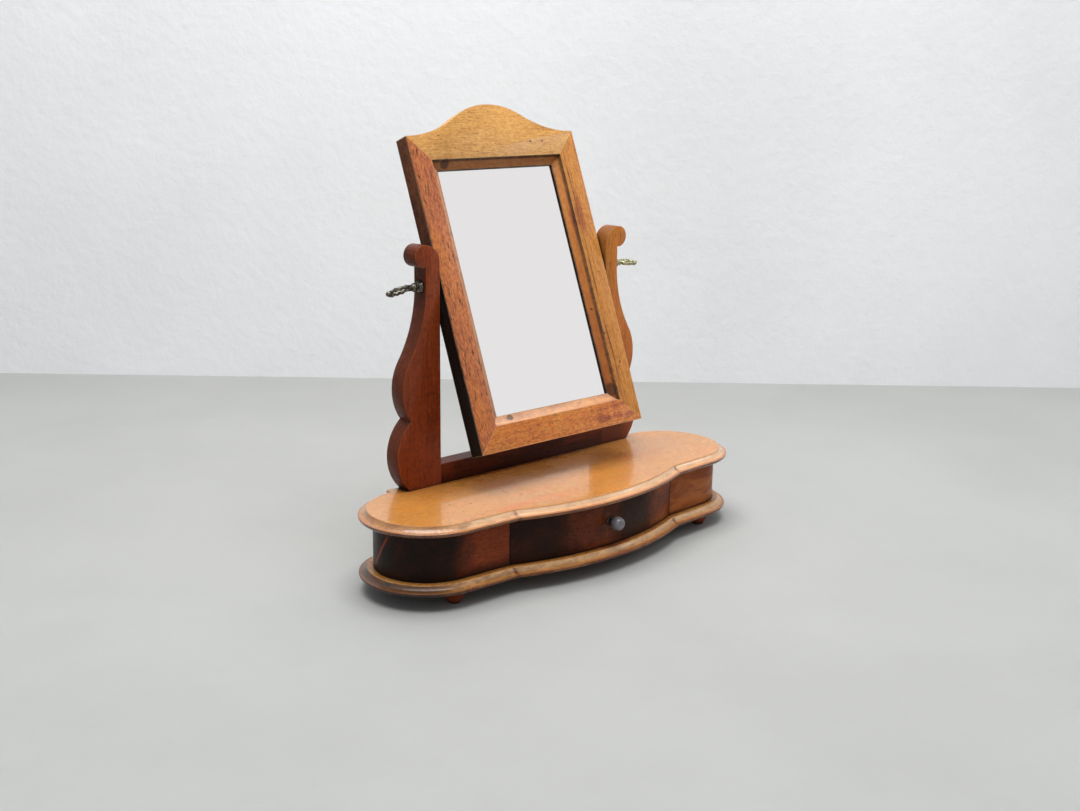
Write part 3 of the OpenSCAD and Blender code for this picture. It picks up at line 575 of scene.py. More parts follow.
WOODS = {
    # hues, grain, lean, figure, pores, soiling and painted shade in hollows, worn edges, flecks, roughness, wax,
    # sheen, mottle, seed, edge hue, patina, marks
    "honey_top": ("amber honey gold", "x", 0, 0.9, 0.25, 0.9, 0.1, 0.5, 0.28, 0.5, 0.5, 0.35, 1.3, "cream", None,
                  moulded(BOARD_LOW.z, "cream", 0.9, 0.2)),
    "honey_base": ("orange gold straw", "x", 0, 1.5, 0.6, 0.95, 0.12, 0.45, 0.34, 0.3, 0.35, 0.5, 4.1, "cream", None,
                   moulded(FLOOR_LOW.z, "cream straw", 1.0, 0.97)),
    "gold_crest": ("honey straw straw", "x", LEAN, 0.8, 0.3, 0.9, 0.3, 0.75, 0.4, 0.15, 0.3, 0.45, 2.2, "cream", None,
                   framed("top", "russet", 0.7, 0.9, 0.8, (-66, 28, 6, 5))),
    "gold_rail": ("russet amber gold", "x", LEAN, 1.7, 0.35, 0.9, 0.3, 0.5, 0.36, 0.3, 0.3, 0.5, 5.7, "cream", None,
                  framed("bottom", "cream", 0.45, 0.2, 1.0, (-60, 30, 5, 3))),
    "stile_left": ("russet rose amber", "z", LEAN, 0.9, 1.0, 0.9, 0.3, 0.6, 0.42, 0.15, 0.3, 0.6, 7.9, "cream",
                   frame_sides, framed("x", "cream", 0.35, 0.25)),
    "stile_right": ("orange gold gold", "z", LEAN, 1.5, 0.3, 0.9, 0.3, 0.8, 0.4, 0.15, 0.3, 0.35, 9.2, "cream", None,
                    framed("x", "russet", 0.5, 0.85, 1.0, (-131, 29, 9, 6), True)),
    "red_upright": ("umber russet russet", "z", 0, 0.9, 0.3, 0.8, 0.8, 0.3, 0.4, 0.08, 0.2, 0.35, 3.3, "orange",
                    cut_sides),
    "orange_upright": ("orange amber gold", "z", 0, 0.9, 0.3, 0.8, 0.6, 0.3, 0.4, 0.08, 0.25, 0.25, 6.3, "gold",
                       cut_sides, red_foot),
    "red_rail": ("umber umber russet", "x", 0, 0.9, 0.4, 0.9, 0.4, 0.3, 0.36, 0.0, 0.15, 0.35, 8.3, "orange",
                 rail_patina_and_shade),
    "dark_case": ("umber russet russet", "x", 0, 0.9, 0.35, 1.0, 0.25, 0.3, 0.34, 0.0, 0.12, 0.35, 2.9, "russet",
                  case_patina_and_shade, scratch_and_lit_end),
    "dark_drawer": ("umber russet orange", "x", 0, 0.9, 0.35, 1.0, 0.3, 0.3, 0.34, 0.0, 0.14, 0.35, 5.1, "russet",
                    drawer_patina),
    "plain_inside": ("russet orange gold", "x", 0, 0.8, 0.4, 0.9, 0.2, 0.4, 0.55, 0.05, 0.3, 0.35, 1.9),
    "foot_wood": ("umber russet russet", "z", 0, 0.8, 0.3, 0.9, 0.5, 0.3, 0.38, 0.05, 0.3, 0.35, 7.1, "orange"),
}
METALS = {
    # colour, tarnish, roughness, reach of the painted shade on the collar
    "old_brass": ("brass", (0.20, 0.19, 0.12), 0.24),
    "ring_brass": ("brass", (0.20, 0.19, 0.12), 0.24, COLLAR_SHADE_RIM),
    "dull_brass": ((0.17, 0.155, 0.122), (0.03, 0.026, 0.02), 0.28),
    "iron": ((0.20, 0.19, 0.18), (0.07, 0.055, 0.045), 0.45),
}
RECIPES = {"knob_black": (satin_black, ()), "silvered": (silvered, ())}
for table, maker in ((WOODS, wood), (METALS, metal)):
    RECIPES.update((name, (maker, row)) for name, row in table.items())
FINISHES = {}


def finish(name):
    """The finished material of that name, made once."""
    if name not in FINISHES:
        maker, row = RECIPES[name]
        FINISHES[name] = maker(name, *row)
    return FINISHES[name]


# ---- pieces


def placed(name, data):
    """A new object with that data, linked to the scene."""
    made = bpy.data.objects.new(name, data)
    bpy.context.scene.collection.objects.link(made)
    return made


def meshed(m, name):
    """The mesh of a bmesh that is done with."""
    mesh = bpy.data.meshes.new(name)
    m.to_mesh(mesh)
    m.free()
    return mesh


def shaded_smooth(m):
    for face in m.faces:
        face.smooth = True
    return m


def show(name, mesh, body, skin, *nodes, slot):
    """Puts a mesh with that finish in the scene on its body, in place of CAD nodes."""
    piece = placed(name, mesh)
    mesh.materials.clear()
    mesh.materials.append(finish(skin))
    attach(piece, body)
    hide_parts(*nodes)
    return piece


def paint(skin, *nodes):
    """Gives CAD nodes that stay a better material."""
    for name in nodes:
        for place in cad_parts[name].material_slots:
            place.link = "OBJECT"
            place.material = finish(skin)


def merged(cad):
    """A merged copy of a CAD node's mesh, with its flat faces whole again."""
    m = bmesh.new()
    m.from_mesh(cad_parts[cad].data)
    bmesh.ops.remove_doubles(m, verts=m.verts, dist=SAME)
    bmesh.ops.dissolve_limit(m, angle_limit=FLAT, verts=m.verts, edges=m.edges, delimit={"NORMAL"})
    return m


def softened(cad, body, skin, width, slot, mitre=None):
    """A copy of a CAD node with rounded edges. Edges for which mitre says yes get only a fine rounding."""
    m = shaded_smooth(merged(cad))
    weight = m.edges.layers.float.new("bevel_weight_edge")
    fine = settings("mirror_joinery").mitre_edge / width
    for e in m.edges:
        if len(e.link_faces) == 2 and e.calc_face_angle(0) > SHARP:
            e[weight] = fine if mitre and mitre(e) else 1.0
        e.smooth = True
    piece = show(cad + "_worn", meshed(m, cad), body, skin, cad, slot=slot)
    bevel = piece.modifiers.new("Worn edges", "BEVEL")
    for key, value in (("limit_method", "WEIGHT"), ("width", width), ("segments", 2), ("use_clamp_overlap", True),
                       ("harden_normals", True), ("miter_outer", "MITER_ARC")):
        setattr(bevel, key, value)


def profile(points, lift=0.0):
    """Points of an outline, from millimetres to metres, raised by lift."""
    return [(r * MM, z * MM + lift) for r, z in points]


def lathe(points, facets):
    """A turned mesh round Z from (radius, height) points, first and last on the axis."""
    m = bmesh.new()
    rings = []
    for r, z in points:
        turns = [2 * pi * k / facets for k in range(facets)] if r > 1e-9 else [0]
        rings.append([m.verts.new((r * cos(a), r * sin(a), z)) for a in turns])
    for a, b in zip(rings, rings[1:]):
        for k in range(facets):
            n = (k + 1) % facets
            if len(a) == 1:
                m.faces.new((a[0], b[n], b[k]))
            elif len(b) == 1:
                m.faces.new((a[k], a[n], b[0]))
            else:
                m.faces.new((a[k], a[n], b[n], b[k]))
    bmesh.ops.recalc_face_normals(m, faces=m.faces)
    return shaded_smooth(m)


def smooth_line(points, count):
    """A smooth line through the points, with count steps between each pair."""
    out = []
    ends = [points[0]] + list(points) + [points[-1]]
    for i in range(1, len(ends) - 2):
        p0, p1, p2, p3 = (Vector(p) for p in ends[i - 1:i + 3])
        for t in (k / count for k in range(count)):
            out.append(0.5 * (2 * p1 + (p2 - p0) * t + (2 * p0 - 5 * p1 + 4 * p2 - p3) * t * t
                              + (3 * p1 - p0 - 3 * p2 + p3) * t ** 3))
    return out + [Vector(points[-1])]


# ---- repeated parts


def solids(cad):
    """Middle and long axis of each separate solid in a CAD node."""
    m = merged(cad)
    # a dict keeps its order, so each run adds the points up alike
    left, found = dict.fromkeys(m.verts), []
    while left:
        part, edge = [], [left.popitem()[0]]
        while edge:
            v = edge.pop()
            part.append(v.co.copy())
            for e in v.link_edges:
                other = e.other_vert(v)
                if other in left:
                    del left[other]
                    edge.append(other)
        middle = sum(part, Vector()) / len(part)
        far = max(part, key=lambda p: (p - middle).length) - middle
        ahead = [p for p in part if (p - middle).dot(far) > 0]
        behind = [p for p in part if (p - middle).dot(far) <= 0]
        axis = sum(ahead, Vector()) / len(ahead) - sum(behind, Vector()) / len(behind)
        low, high = (Vector(pick(p[i] for p in part) for i in range(3)) for pick in (min, max))
        found.append(((low + high) / 2, axis.normalized()))
    m.free()
    return sorted(found, key=lambda f: tuple(f[0]))


def repeat_group():
    """Node group that sets one part on every point, turned as the point says and then a little at random."""
    tree = bpy.data.node_groups.new("repeated_part", "GeometryNodeTree")
    ask = {key: tree.interface.new_socket(key, in_out="INPUT", socket_type="NodeSocket" + kind).identifier
           for key, kind in (("Geometry", "Geometry"), ("Part", "Object"), ("Spread", "Float"), ("Seed", "Int"),
                             ("Material", "Material"))}
    tree.interface.new_socket("Geometry", in_out="OUTPUT", socket_type="NodeSocketGeometry")
    given = node(tree, "NodeGroupInput").outputs
    part = step(tree, "GeometryNodeObjectInfo", {"Object": given["Part"]}, "Geometry")
    own = step(tree, "GeometryNodeInputNamedAttribute", {"Name": "turn"}, "Attribute", data_type="FLOAT_VECTOR")
    euler = step(tree, "FunctionNodeEulerToRotation", {0: own})
    back = step(tree, "ShaderNodeMath", {0: given["Spread"], 1: -1.0}, operation="MULTIPLY")
    chance = step(tree, "FunctionNodeRandomValue", {2: back, 3: given["Spread"], "Seed": given["Seed"]}, 1,
                  data_type="FLOAT")
    spin = step(tree, "FunctionNodeAxisAngleToRotation", {"Axis": (0, 0, 1), "Angle": chance})
    both = step(tree, "FunctionNodeRotateRotation", {0: euler, 1: spin}, rotation_space="LOCAL")
    place = step(tree, "GeometryNodeInstanceOnPoints", {"Points": given["Geometry"], "Instance": part,
                                                        "Rotation": both})
    real = step(tree, "GeometryNodeRealizeInstances", {0: place})
    coat = step(tree, "GeometryNodeSetMaterial", {"Geometry": real, "Material": given["Material"]})
    node(tree, "NodeGroupOutput", {0: coat})
    return tree, ask


def repeated(name, part, places, body, skin, *nodes, slot):
    """One mesh with the part, drawn along Z, at every (middle, axis) place."""
    t = settings("mirror_turnings")
    mesh = meshed(part, name + "_part")
    dots = bpy.data.meshes.new(name + "_dots")
    dots.from_pydata([tuple(middle) for middle, _ in places], [], [])
    turns = dots.attributes.new("turn", "FLOAT_VECTOR", "POINT")
    for i, (_, axis) in enumerate(places):
        turns.data[i].vector = tuple(axis.to_track_quat("Z", "Y").to_euler())
    sample, carrier = placed(name + "_part", mesh), placed(name + "_dots", dots)
    tree, ask = repeat_group()
    work = carrier.modifiers.new("Repeated part", "NODES")
    work.node_group = tree
    for key, value in (("Part", sample), ("Spread", t.spread), ("Seed", t.seed), ("Material", finish(skin))):
        work[ask[key]] = value
    result = bpy.data.meshes.new_from_object(carrier.evaluated_get(bpy.context.evaluated_depsgraph_get()))
    result.name = name
    carrier.modifiers.remove(work)
    for o in (sample, carrier):
        bpy.data.objects.remove(o)
    if len(result.vertices) < len(places) * len(mesh.vertices):
        raise RuntimeError(name + " came out with parts missing")
    show(name, result, body, skin, *nodes, slot=slot)


# ---- boards


def arc(centre, radius, first, last, count):
    """Points on an arc from the first angle to the last, in count steps. Angles run on from +X to +Y."""
    return [(centre[0] + radius * cos(a), centre[1] + radius * sin(a))
            for a in (first + (last - first) * k / count for k in range(count + 1))]


def board_outline(inset):
    """The boards' outline set in by a distance, anticlockwise from the back right, always with the same points."""
    b = settings("mirror_boards")
    lobe_x, lobe_y = lobe = BOARD_HIGH.x - b.lobe, LOBE_BACK - b.lobe
    sag = b.bow_reach - b.notch_reach
    bow_r = (b.notch ** 2 + sag ** 2) / (2 * sag)
    bow_y = bow_r - b.bow_reach
    run = Vector((lobe_x - b.notch, lobe_y + b.notch_reach))
    slope = atan2(run.y, run.x) - asin(b.lobe / run.length)
    r, bow = b.lobe - inset, bow_r - inset
    touch = Vector(lobe) + r * Vector((sin(slope), -cos(slope)))
    ahead = Vector((-cos(slope), -sin(slope)))
    # where the shoulder, set in, meets the bow, set in
    off = touch - Vector((0, bow_y))
    along = -off.dot(ahead) - sqrt(max(0.0, off.dot(ahead) ** 2 - off.length_squared + bow ** 2))
    meet = touch + ahead * along
    last = asin(min(1.0, (min(BACK, lobe_y + r) - lobe_y) / r))
    side = atan2(meet.x, bow_y - meet.y)
    half_line = [(lobe_x, BACK)] + arc(lobe, r, last, slope - pi / 2, b.steps)
    half_line += [tuple(touch.lerp(meet, k / 14)) for k in range(1, 15)]
    half_line += arc((0, bow_y), bow, side - pi / 2, -pi / 2, 24)[1:]
    return [(x, y + STAND_Y) for x, y in half_line + [(-x, y) for x, y in reversed(half_line[:-1])]]


def board_section():
    """Inset and height of the moulded edge, from the underside to the top, worn round where hands reach."""
    b = settings("mirror_boards")
    t, s = BOARD_HIGH.z - BOARD_LOW.z, b.cove_step
    lip = t - s - b.cove_d
    r = (b.cove_w ** 2 + b.cove_d ** 2) / (2 * b.cove_d)
    start = asin(min(1.0, b.nose_h / b.nose_r))
    foot = b.nose_r * (1 - cos(start))
    line = [(14 * MM, 0), (9 * MM, 0), (foot + 0.8 * MM, 0), (foot + 0.12 * MM, 0.02 * MM)]
    line += arc((b.nose_r, b.nose_h), b.nose_r, pi + start, pi, 7)
    w = min(b.wear, b.cove_lip * 0.6, (lip - b.nose_h) * 0.6)
    line += arc((w, lip - w), w, pi, pi / 2, 4)
    line += [(b.cove_lip, lip + 0.02 * MM)]
    line += arc((b.cove_lip, lip + r), r, -pi / 2, asin(min(1.0, b.cove_w / r)) - pi / 2, 10)[1:]
    edge = b.cove_lip + b.cove_w
    return line + [(edge + 0.03 * MM, t - s * 0.55), (edge + 0.16 * MM, t - s * 0.18), (edge + 0.5 * MM, t),
                   (edge + 1.6 * MM, t), (16 * MM, t), (22 * MM, t)]


def build_board(cad, low, skin):
    """Sweeps the section round the outline of the board whose underside is at low."""
    m = bmesh.new()
    loops = [[m.verts.new((x, y, low + z)) for x, y in board_outline(inset)] for inset, z in board_section()]
    for a, b in zip(loops, loops[1:]):
        for k in range(len(a)):
            m.faces.new((a[k - 1], b[k - 1], b[k], a[k]))
    m.faces.new(loops[0])
    m.faces.new(loops[-1][::-1])
    bmesh.ops.remove_doubles(m, verts=m.verts, dist=SAME)
    bmesh.ops.dissolve_degenerate(m, edges=m.edges, dist=SAME)
    bmesh.ops.recalc_face_normals(m, faces=m.faces)
    for e in shaded_smooth(m).edges:
        e.smooth = e.calc_face_angle(0) < CRISP
    name = cad + "_worn"
    piece = show(name, meshed(m, name), "stand", skin, cad, slot="honey_wood")
    piece.modifiers.new("Flat faces stay flat", "WEIGHTED_NORMAL").keep_sharp = True


class MIRROR_OT_boards(bpy.types.Operator):
    """Sweep the moulded edge of the top and bottom boards round their lobed, bowed outline"""

    bl_idname = "dressing_mirror.boards"
    bl_label = "Moulded Boards"

    def execute(self, context):
        build_board("top_board", BOARD_LOW.z, "honey_top")
        build_board("bottom_board", FLOOR_LOW.z, "honey_base")
        return {"FINISHED"}


class MIRROR_OT_case(bpy.types.Operator):
    """Finish the curved end walls, the back panel and the drawer's guides and stops"""

    bl_idname = "dressing_mirror.case"
    bl_label = "Case"

    def execute(self, context):
        for cad in ("end_wall_left", "end_wall_right"):
            softened(cad, "stand", "dark_case", settings("mirror_joinery").case_edge, "dark_wood")
        paint("plain_inside", "back_panel", "drawer_guide_left", "drawer_guide_right", "drawer_stops")
        return {"FINISHED"}


class MIRROR_OT_drawer(bpy.types.Operator):
    """Finish the bowed drawer front with its dovetailed box, and turn its knob"""

    bl_idname = "dressing_mirror.drawer"
    bl_label = "Drawer"

    def execute(self, context):
        softened("drawer_front", "drawer", "dark_drawer", settings("mirror_joinery").case_edge, "dark_wood")
        paint("plain_inside", "drawer_side_left", "drawer_side_right", "drawer_back", "drawer_bottom")
        paint("iron", "knob_screw")
        t = settings("mirror_turnings")
        low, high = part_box("drawer_knob")
        depth, mid = high.y - low.y, (low + high) / 2
        # shares of the radius, and how far back from the front they are in mm
        line = [(share * t.knob_d / 2, depth - back * MM) for share, back in (
            (0, 0), (0.42, 0.1), (0.78, 1.5), (0.99, 5.2), (0.96, 8), (0.74, 11.0), (0.56, 12.4))]
        # and the neck, by height above the drawer front
        line += [(share * t.knob_d / 2, up * MM) for share, up in ((0.52, 1.4), (0.60, 0.5), (0.62, 0.0))]
        m = lathe([(max(0.0, p.x), max(0.0, min(depth, p.y))) for p in smooth_line(line, 5)] + [(0, 0)], t.facets)
        m.transform(Matrix.Translation((mid.x, high.y, mid.z)) @ Matrix.Rotation(pi / 2, 4, "X"))
        show("turned_knob", meshed(m, "turned_knob"), "drawer", "knob_black", "drawer_knob", slot="black_wood")
        return {"FINISHED"}


class MIRROR_OT_feet(bpy.types.Operator):
    """Finish the four turned feet"""

    bl_idname = "dressing_mirror.feet"
    bl_label = "Feet"

    def execute(self, context):
        t = settings("mirror_turnings")
        names = ["foot_%s_%s" % (end, side) for end in ("front", "back") for side in ("left", "right")]
        boxes = [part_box(name) for name in names]
        tall = boxes[0][1].z - boxes[0][0].z
        board, rim, r, toe = FLOOR_LOW.z, FLOOR_LOW.z - t.foot_collar, t.foot_r, t.foot_toe
        soft = 0.5 * MM
        lean = (r - toe) / rim
        line = [(0, 0), (toe - 1.2 * MM, 0), (toe - 0.3 * MM, 0.08 * MM), (toe + lean * soft, soft)]
        line += [(toe + lean * rim * k / 6, rim * k / 6) for k in range(1, 6)]
        line += [(r - soft * lean * 1.4, rim - soft * 1.4), (r - 0.02 * MM, rim - soft * 0.5), (r - 0.25 * MM, rim),
                 (r - 1.3 * MM, rim + 0.05 * MM), (r - 1.4 * MM, board - 0.05 * MM), (r - 1.5 * MM, board)]
        # the spigot that the board holds
        line += [(4.4 * MM, board), (4.4 * MM, tall - 0.4 * MM), (4.0 * MM, tall), (0, tall)]
        repeated("turned_feet", lathe([(r, z - tall / 2) for r, z in line], t.facets),
                 [((low + high) / 2, UP) for low, high in boxes], "stand", "foot_wood", *names, slot="dark_wood")
        return {"FINISHED"}


class MIRROR_OT_uprights(bpy.types.Operator):
    """Finish the scroll cut uprights and the rail between them"""

    bl_idname = "dressing_mirror.uprights"
    bl_label = "Uprights and Rail"

    def execute(self, context):
        j = settings("mirror_joinery")
        for cad, skin, edge in (("upright_left", "red_upright", j.upright_edge),
                                ("upright_right", "orange_upright", j.upright_edge),
                                ("lower_rail", "red_rail", j.case_edge)):
            softened(cad, "stand", skin, edge, "red_wood")
        paint("plain_inside", "rail_dowels")
        # countersunk wood screws, drawn head down about their middle, in mm
        low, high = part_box("upright_screws")
        half = (high.z - low.z) / 2 / MM
        threads = [(r, 9 - half + 1.4 * k + z) for k in range(15) for r, z in ((1.55, 0), (1.97, 0.45), (1.55, 0.9))]
        line = [(0, -half), (3.9, -half), (4, 0.25 - half), (2, 3 - half), (2, 8 - half)]
        line += [p for p in threads if p[1] < half - 3] + [(1.4, half - 2.5), (0.3, half), (0, half)]
        repeated("upright_wood_screws", lathe(profile(line), 24), [(m, UP) for m, _ in solids("upright_screws")],
                 "stand", "iron", "upright_screws", slot="iron")
        return {"FINISHED"}


class MIRROR_OT_frame(bpy.types.Operator):
    """Finish the four mitred members of the mirror frame"""

    bl_idname = "dressing_mirror.frame"
    bl_label = "Mirror Frame"

    def execute(self, context):
        def at_mitre(e):
            ends = [LEVEL @ (v.co - PIVOT) for v in e.verts]
            return any(all(abs(FRAME_X - abs(p.x) - way * (p.z - height)) < 0.06 * MM for p in ends)
                       for height, way in ((FRAME_UP, -1), (-FRAME_DOWN, 1)))

        for cad, skin in (("frame_top_rail", "gold_crest"), ("frame_bottom_rail", "gold_rail"),
                          ("frame_stile_left", "stile_left"), ("frame_stile_right", "stile_right")):
            softened(cad, "mirror", skin, settings("mirror_joinery").frame_edge, "orange_wood", at_mitre)
        paint("plain_inside", "mitre_dowels")
        return {"FINISHED"}


class MIRROR_OT_glass(bpy.types.Operator):
    """Silver the glass and finish the backing and its pins"""

    bl_idname = "dressing_mirror.glass"
    bl_label = "Glass and Backing"

    def execute(self, context):
        # the silver lies on the back of the plate, so the eye meets it some way into the glass
        m = merged("mirror_glass")
        depths = [(LEVEL @ (v.co - PIVOT)).y for v in m.verts]
        middle = sum(depths) / len(depths)
        sink = LEVEL.transposed() @ Vector((0, settings("mirror_joinery").silver, 0))
        for v, depth in zip(m.verts, depths):
            if depth < middle:
                v.co += sink
        show("silvered_plate", meshed(m, "silvered_plate"), "mirror", "silvered", "mirror_glass",
             slot="silvered_glass")
        paint("plain_inside", "mirror_backing")
        pins = solids("backing_pins")
        part = lathe(profile([(0, -7), (0.25, -6.5), (0.55, -5), (0.58, 6.3), (0.6, 6.5), (0.6, 6.92), (0.52, 7),
                              (0, 7)]), 16)
        # the heads stand over the backing, so every pin points out into the frame
        centre = sum((m for m, _ in pins), Vector()) / len(pins)
        places = [(m, -axis if axis.dot(m - centre) > 0 else axis) for m, axis in pins]
        repeated("backing_nails", part, places, "mirror", "iron", "backing_pins", slot="iron")
        return {"FINISHED"}


def ring_screw(seat, beads):
    """A cast ring screw along Z: shank up to the seat, lobed collar, beaded hub, ring and tip bead."""
    g = settings("mirror_rings")
    wire, ring_z, c = g.wire / 2, seat + g.hub_l, g.collar / MM
    hub = profile([(c - 0.5, 0), (c, 0.5), (c, 1.3), (c - 0.9, 1.8), (c - 0.8, 2.6), (c - 1.3, 3.5), (c - 2.8, 4.1),
                   (c - 3.7, 4.6), (2.7, 5.0), (3.7, 5.6), (4.2, 6.6), (4.2, 7.7), (3.6, 8.8), (2.7, 9.4),
                   (2.4, 10.4), (3.0, 11.4), (3.1, 12.2)], seat)
    hub += [(2.4 * MM, ring_z + wire), (1.2 * MM, ring_z + g.wire * 0.8), (0, ring_z + g.wire * 0.85)]
    shank = [(0, 0), (2.0, 0), (2.5, 0.5)]
    while shank[-1][1] < 11:
        z = shank[-1][1]
        shank += [(2.15, z + 0.4), (2.5, z + 0.8)]
    m = lathe(profile(shank + [(2.5, 12.4)]) + [(2.5 * MM, seat)] + hub, 48)
    for v in m.verts:
        # the collar is cast as four lobes
        if seat + 0.1 * MM < v.co.z < seat + 4.3 * MM and hypot(v.co.x, v.co.y) > 3 * MM:
            k = 1 + 0.10 * (cos(4 * atan2(v.co.y, v.co.x)) - 1)
            v.co.x *= k
            v.co.y *= k
    # the ring follows a long oval
    r, straight = g.ring_w / 2 - wire, g.ring_l - g.ring_w
    low, high = ring_z + g.ring_w / 2, ring_z + g.ring_l - g.ring_w / 2
    path = arc((0, low), r, pi, 2 * pi, 24)[:-1] + [(r, low + straight * k / 12) for k in range(12)]
    path += arc((0, high), r, 0, pi, 24)[:-1] + [(-r, high - straight * k / 12) for k in range(12)]
    count, bead_count, round_wire, loops = len(path), 10, 20, []
    for k, (x, z) in enumerate(path):
        ahead = Vector(path[(k + 1) % count]) - Vector(path[k - 1])
        out = Vector((ahead.y, -ahead.x)).normalized()
        thick = wire * (1 - beads + beads * cos(2 * pi * bead_count * k / count))
        loops.append([m.verts.new((x + out.x * u, v, z + out.y * u))
                      for u, v in arc((0, 0), thick, 0, 2 * pi, round_wire)[:-1]])
    for a, b in zip(loops, loops[1:] + loops[:1]):
        for i in range(round_wire):
            n = (i + 1) % round_wire
            m.faces.new((a[i], a[n], b[n], b[i]))
    # the bead at the tip
    top = ring_z + g.ring_l
    tip = [(r, z + top) for z, r in arc((0, 0), g.tip, pi, 0, 12)[1:-1]]
    extra = meshed(lathe([(0, top - g.tip)] + tip + [(0, top + g.tip)], 24), "tip")
    m.from_mesh(extra)
    bpy.data.meshes.remove(extra)
    return shaded_smooth(m)


class MIRROR_OT_ring_screws(bpy.types.Operator):
    """Finish the two ring screws that clamp the mirror and their bushes"""

    bl_idname = "dressing_mirror.ring_screws"
    bl_label = "Ring Screws"

    def execute(self, context):
        g = settings("mirror_rings")
        paint("old_brass", "pivot_bush_left", "pivot_bush_right")
        # local Z runs out along the screw, X forward to back and Y up
        swap = Matrix(((0, 0, 1, 0), (1, 0, 0, 0), (0, 1, 0, 0), (0, 0, 0, 1)))
        for side, name, turn, beads, bend, skin in (
                (-1, "left", g.left_turn, g.beads, g.left_bend, "dull_brass"),
                (1, "right", g.right_turn, g.worn_beads, g.right_bend, "ring_brass")):
            low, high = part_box("ring_screw_" + name)
            inner = low.x if side > 0 else -high.x
            seat = high.x - low.x - g.tip - g.ring_l - g.hub_l
            m = ring_screw(seat, beads)
            m.transform(Matrix.Translation((0, PIVOT.y, PIVOT.z)) @ Matrix.Diagonal((side, 1, 1, 1))
                        @ Matrix.Rotation(-turn, 4, "X") @ Matrix.Translation((inner, 0, 0)) @ swap)
            for v in m.verts:
                v.co.z -= bend * max(0.0, abs(v.co.x) - inner - seat - g.hub_l)
            bmesh.ops.recalc_face_normals(m, faces=m.faces)
            cast = "ring_screw_cast_" + name
            show(cast, meshed(m, cast), name + "_screw", skin, "ring_screw_" + name, slot="old_brass")
        return {"FINISHED"}


# ---- stage

# fitted to the photo: the camera's place, lens in mm and yaw, pitch and roll in degrees, and the wall's foot
EYE, LENS, TURNS = (-0.8928, -0.9520, 0.4715), 44.98, (42.89, 14.04, 0.71)
WALL = Vector((-0.1141, 1.1246, 0)), Vector((1.1093, -0.0272, 0))
WALL_MORE, WALL_HEIGHT, FLOOR_REACH = 6, 4, 9


def sheet(name, corners, material):
    mesh = bpy.data.meshes.new(name)
    mesh.from_pydata(corners, [], [tuple(range(len(corners)))])
    mesh.materials.append(material)
    placed(name, mesh)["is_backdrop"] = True


def lamp(name, place, aim, size, watts, tint):
    light = bpy.data.lights.new(name, "AREA")
    for key, value in (("shape", "DISK"), ("size", size), ("energy", watts), ("color", tint)):
        setattr(light, key, value)
    made = placed(name, light)
    made.location = place
    made.rotation_euler = (Vector(aim) - Vector(place)).to_track_quat("-Z", "Y").to_euler()


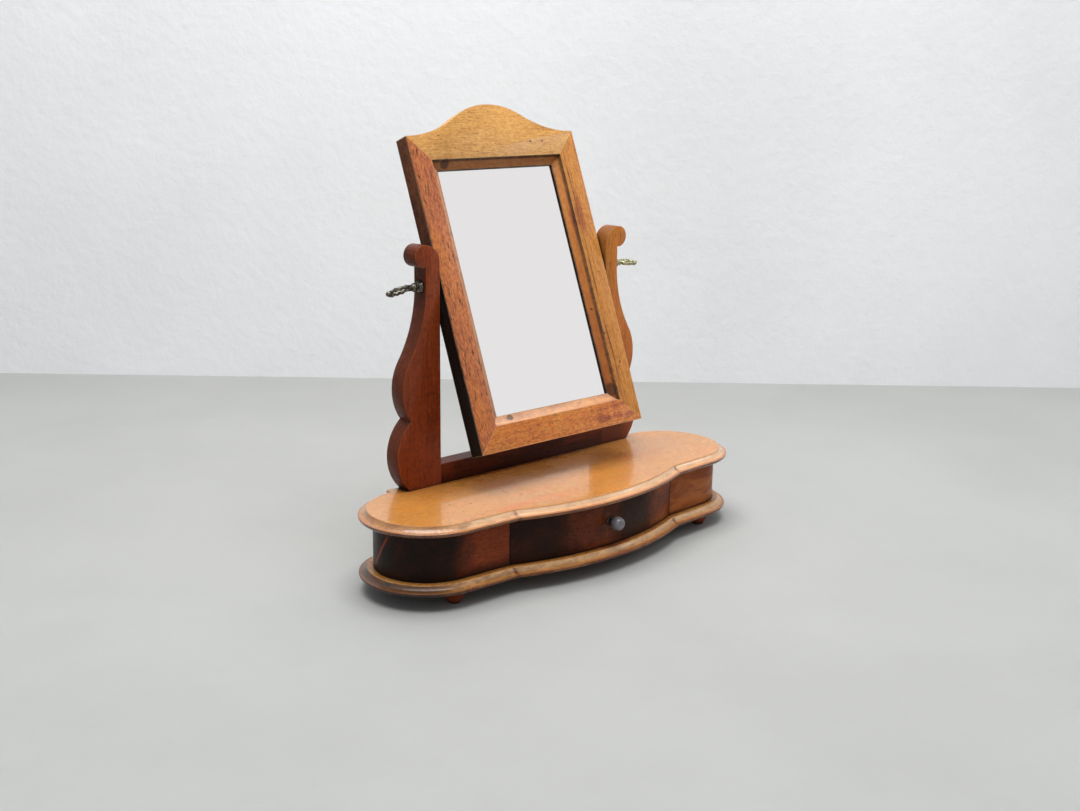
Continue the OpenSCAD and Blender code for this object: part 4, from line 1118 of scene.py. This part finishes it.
class MIRROR_OT_stage(bpy.types.Operator):
    """Lay the floor, stand the wall, hang the lamps and set the camera"""

    bl_idname = "dressing_mirror.stage"
    bl_label = "Stage"

    def execute(self, context):
        st = settings("mirror_stage")
        scene = context.scene
        s, shader = ground("floor_paint", st.floor, 3.0, 0.0006)
        ways = ((-1, -1), (1, -1), (1, 1), (-1, 1))
        sheet("floor", [(x * FLOOR_REACH, y * FLOOR_REACH, 0) for x, y in ways], s.shown(shader))
        # the wall is seen from its front only, so it never hides the piece from behind
        s, shader = ground("wall_paint", st.wall, 2.0, 0.002)
        behind = s.step("ShaderNodeNewGeometry", output="Backfacing")
        pick = s.step("ShaderNodeMixShader", {0: behind, 1: shader, 2: s.step("ShaderNodeBsdfTransparent")})
        more = (WALL[1] - WALL[0]).normalized() * WALL_MORE
        left, right, high = WALL[0] - more, WALL[1] + more, UP * WALL_HEIGHT
        sheet("wall", [left, right, right + high, left + high], s.shown(pick))
        lamp("overhead", (-0.2, -0.1, 2.3), (0, 0, 0.1), 2.0, st.lamp, (1.0, 0.995, 0.98))
        lamp("window", (2.58, -0.75, 1.45), (0, 0, 0.15), 1.6, st.window, (0.97, 0.985, 1.0))

        scene.world = bpy.data.worlds.new("room")
        scene.world.use_nodes = True
        tree = scene.world.node_tree
        tree.nodes.clear()
        ray = node(tree, "ShaderNodeLightPath").outputs
        seen = step(tree, "ShaderNodeMath", {0: ray["Is Camera Ray"], 1: ray["Is Transmission Ray"]},
                    operation="MAXIMUM")
        light, shiny, pale = (step(tree, "ShaderNodeBackground", {0: tint, 1: strength}) for tint, strength in (
            ((0.93, 0.96, 1.0), st.fill), ((0.90, 0.885, 0.89), 0.95), ((0.86, 0.865, 0.875), 1.0)))
        glossy = step(tree, "ShaderNodeMixShader", {0: ray["Is Glossy Ray"], 1: light, 2: shiny})
        room = step(tree, "ShaderNodeMixShader", {0: seen, 1: glossy, 2: pale})
        node(tree, "ShaderNodeOutputWorld", {0: room})

        camera = bpy.data.cameras.new("camera")
        camera.sensor_width, camera.lens, camera.clip_end = 36, LENS, 60
        yaw, pitch, roll = (radians(v) for v in TURNS)
        back = Vector((-sin(yaw) * cos(pitch), -cos(yaw) * cos(pitch), sin(pitch)))
        side = Vector((cos(yaw), -sin(yaw), 0))
        above = back.cross(side)
        turn = Matrix((side * cos(roll) + above * sin(roll), above * cos(roll) - side * sin(roll),
                       back)).transposed().to_4x4()
        scene.camera = placed("camera", camera)
        scene.camera.matrix_world = Matrix.Translation(EYE) @ turn
        scene.view_settings.view_transform = "Standard"
        return {"FINISHED"}


OPERATORS = (MIRROR_OT_boards, MIRROR_OT_case, MIRROR_OT_drawer, MIRROR_OT_feet, MIRROR_OT_uprights, MIRROR_OT_frame,
             MIRROR_OT_glass, MIRROR_OT_ring_screws, MIRROR_OT_stage)


class MIRROR_PT_panel(bpy.types.Panel):
    """The pieces in the order of their making, over the sizes and colours they use"""

    bl_idname = "MIRROR_PT_panel"
    bl_label = "Dressing Mirror"
    bl_space_type = "VIEW_3D"
    bl_region_type = "UI"
    bl_category = "Dressing Mirror"

    def draw(self, context):
        column = self.layout.column(align=True)
        for operator in OPERATORS:
            column.operator(operator.bl_idname)
        for name, group in GROUPS.items():
            box = self.layout.box()
            for key in group.__annotations__:
                box.prop(getattr(context.scene, name), key)


CLASSES = tuple(GROUPS.values()) + OPERATORS + (MIRROR_PT_panel,)


def register():
    for cls in CLASSES:
        bpy.utils.register_class(cls)
    for name, group in GROUPS.items():
        setattr(bpy.types.Scene, name, PointerProperty(type=group))


def unregister():
    for name in GROUPS:
        delattr(bpy.types.Scene, name)
    for cls in reversed(CLASSES):
        bpy.utils.unregister_class(cls)


def corners():
    return [list(corner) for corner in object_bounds()]


def main():
    register()
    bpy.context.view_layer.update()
    for operator in OPERATORS:
        group, name = operator.bl_idname.split(".")
        getattr(getattr(bpy.ops, group), name)()


if __name__ == "__main__":
    main()
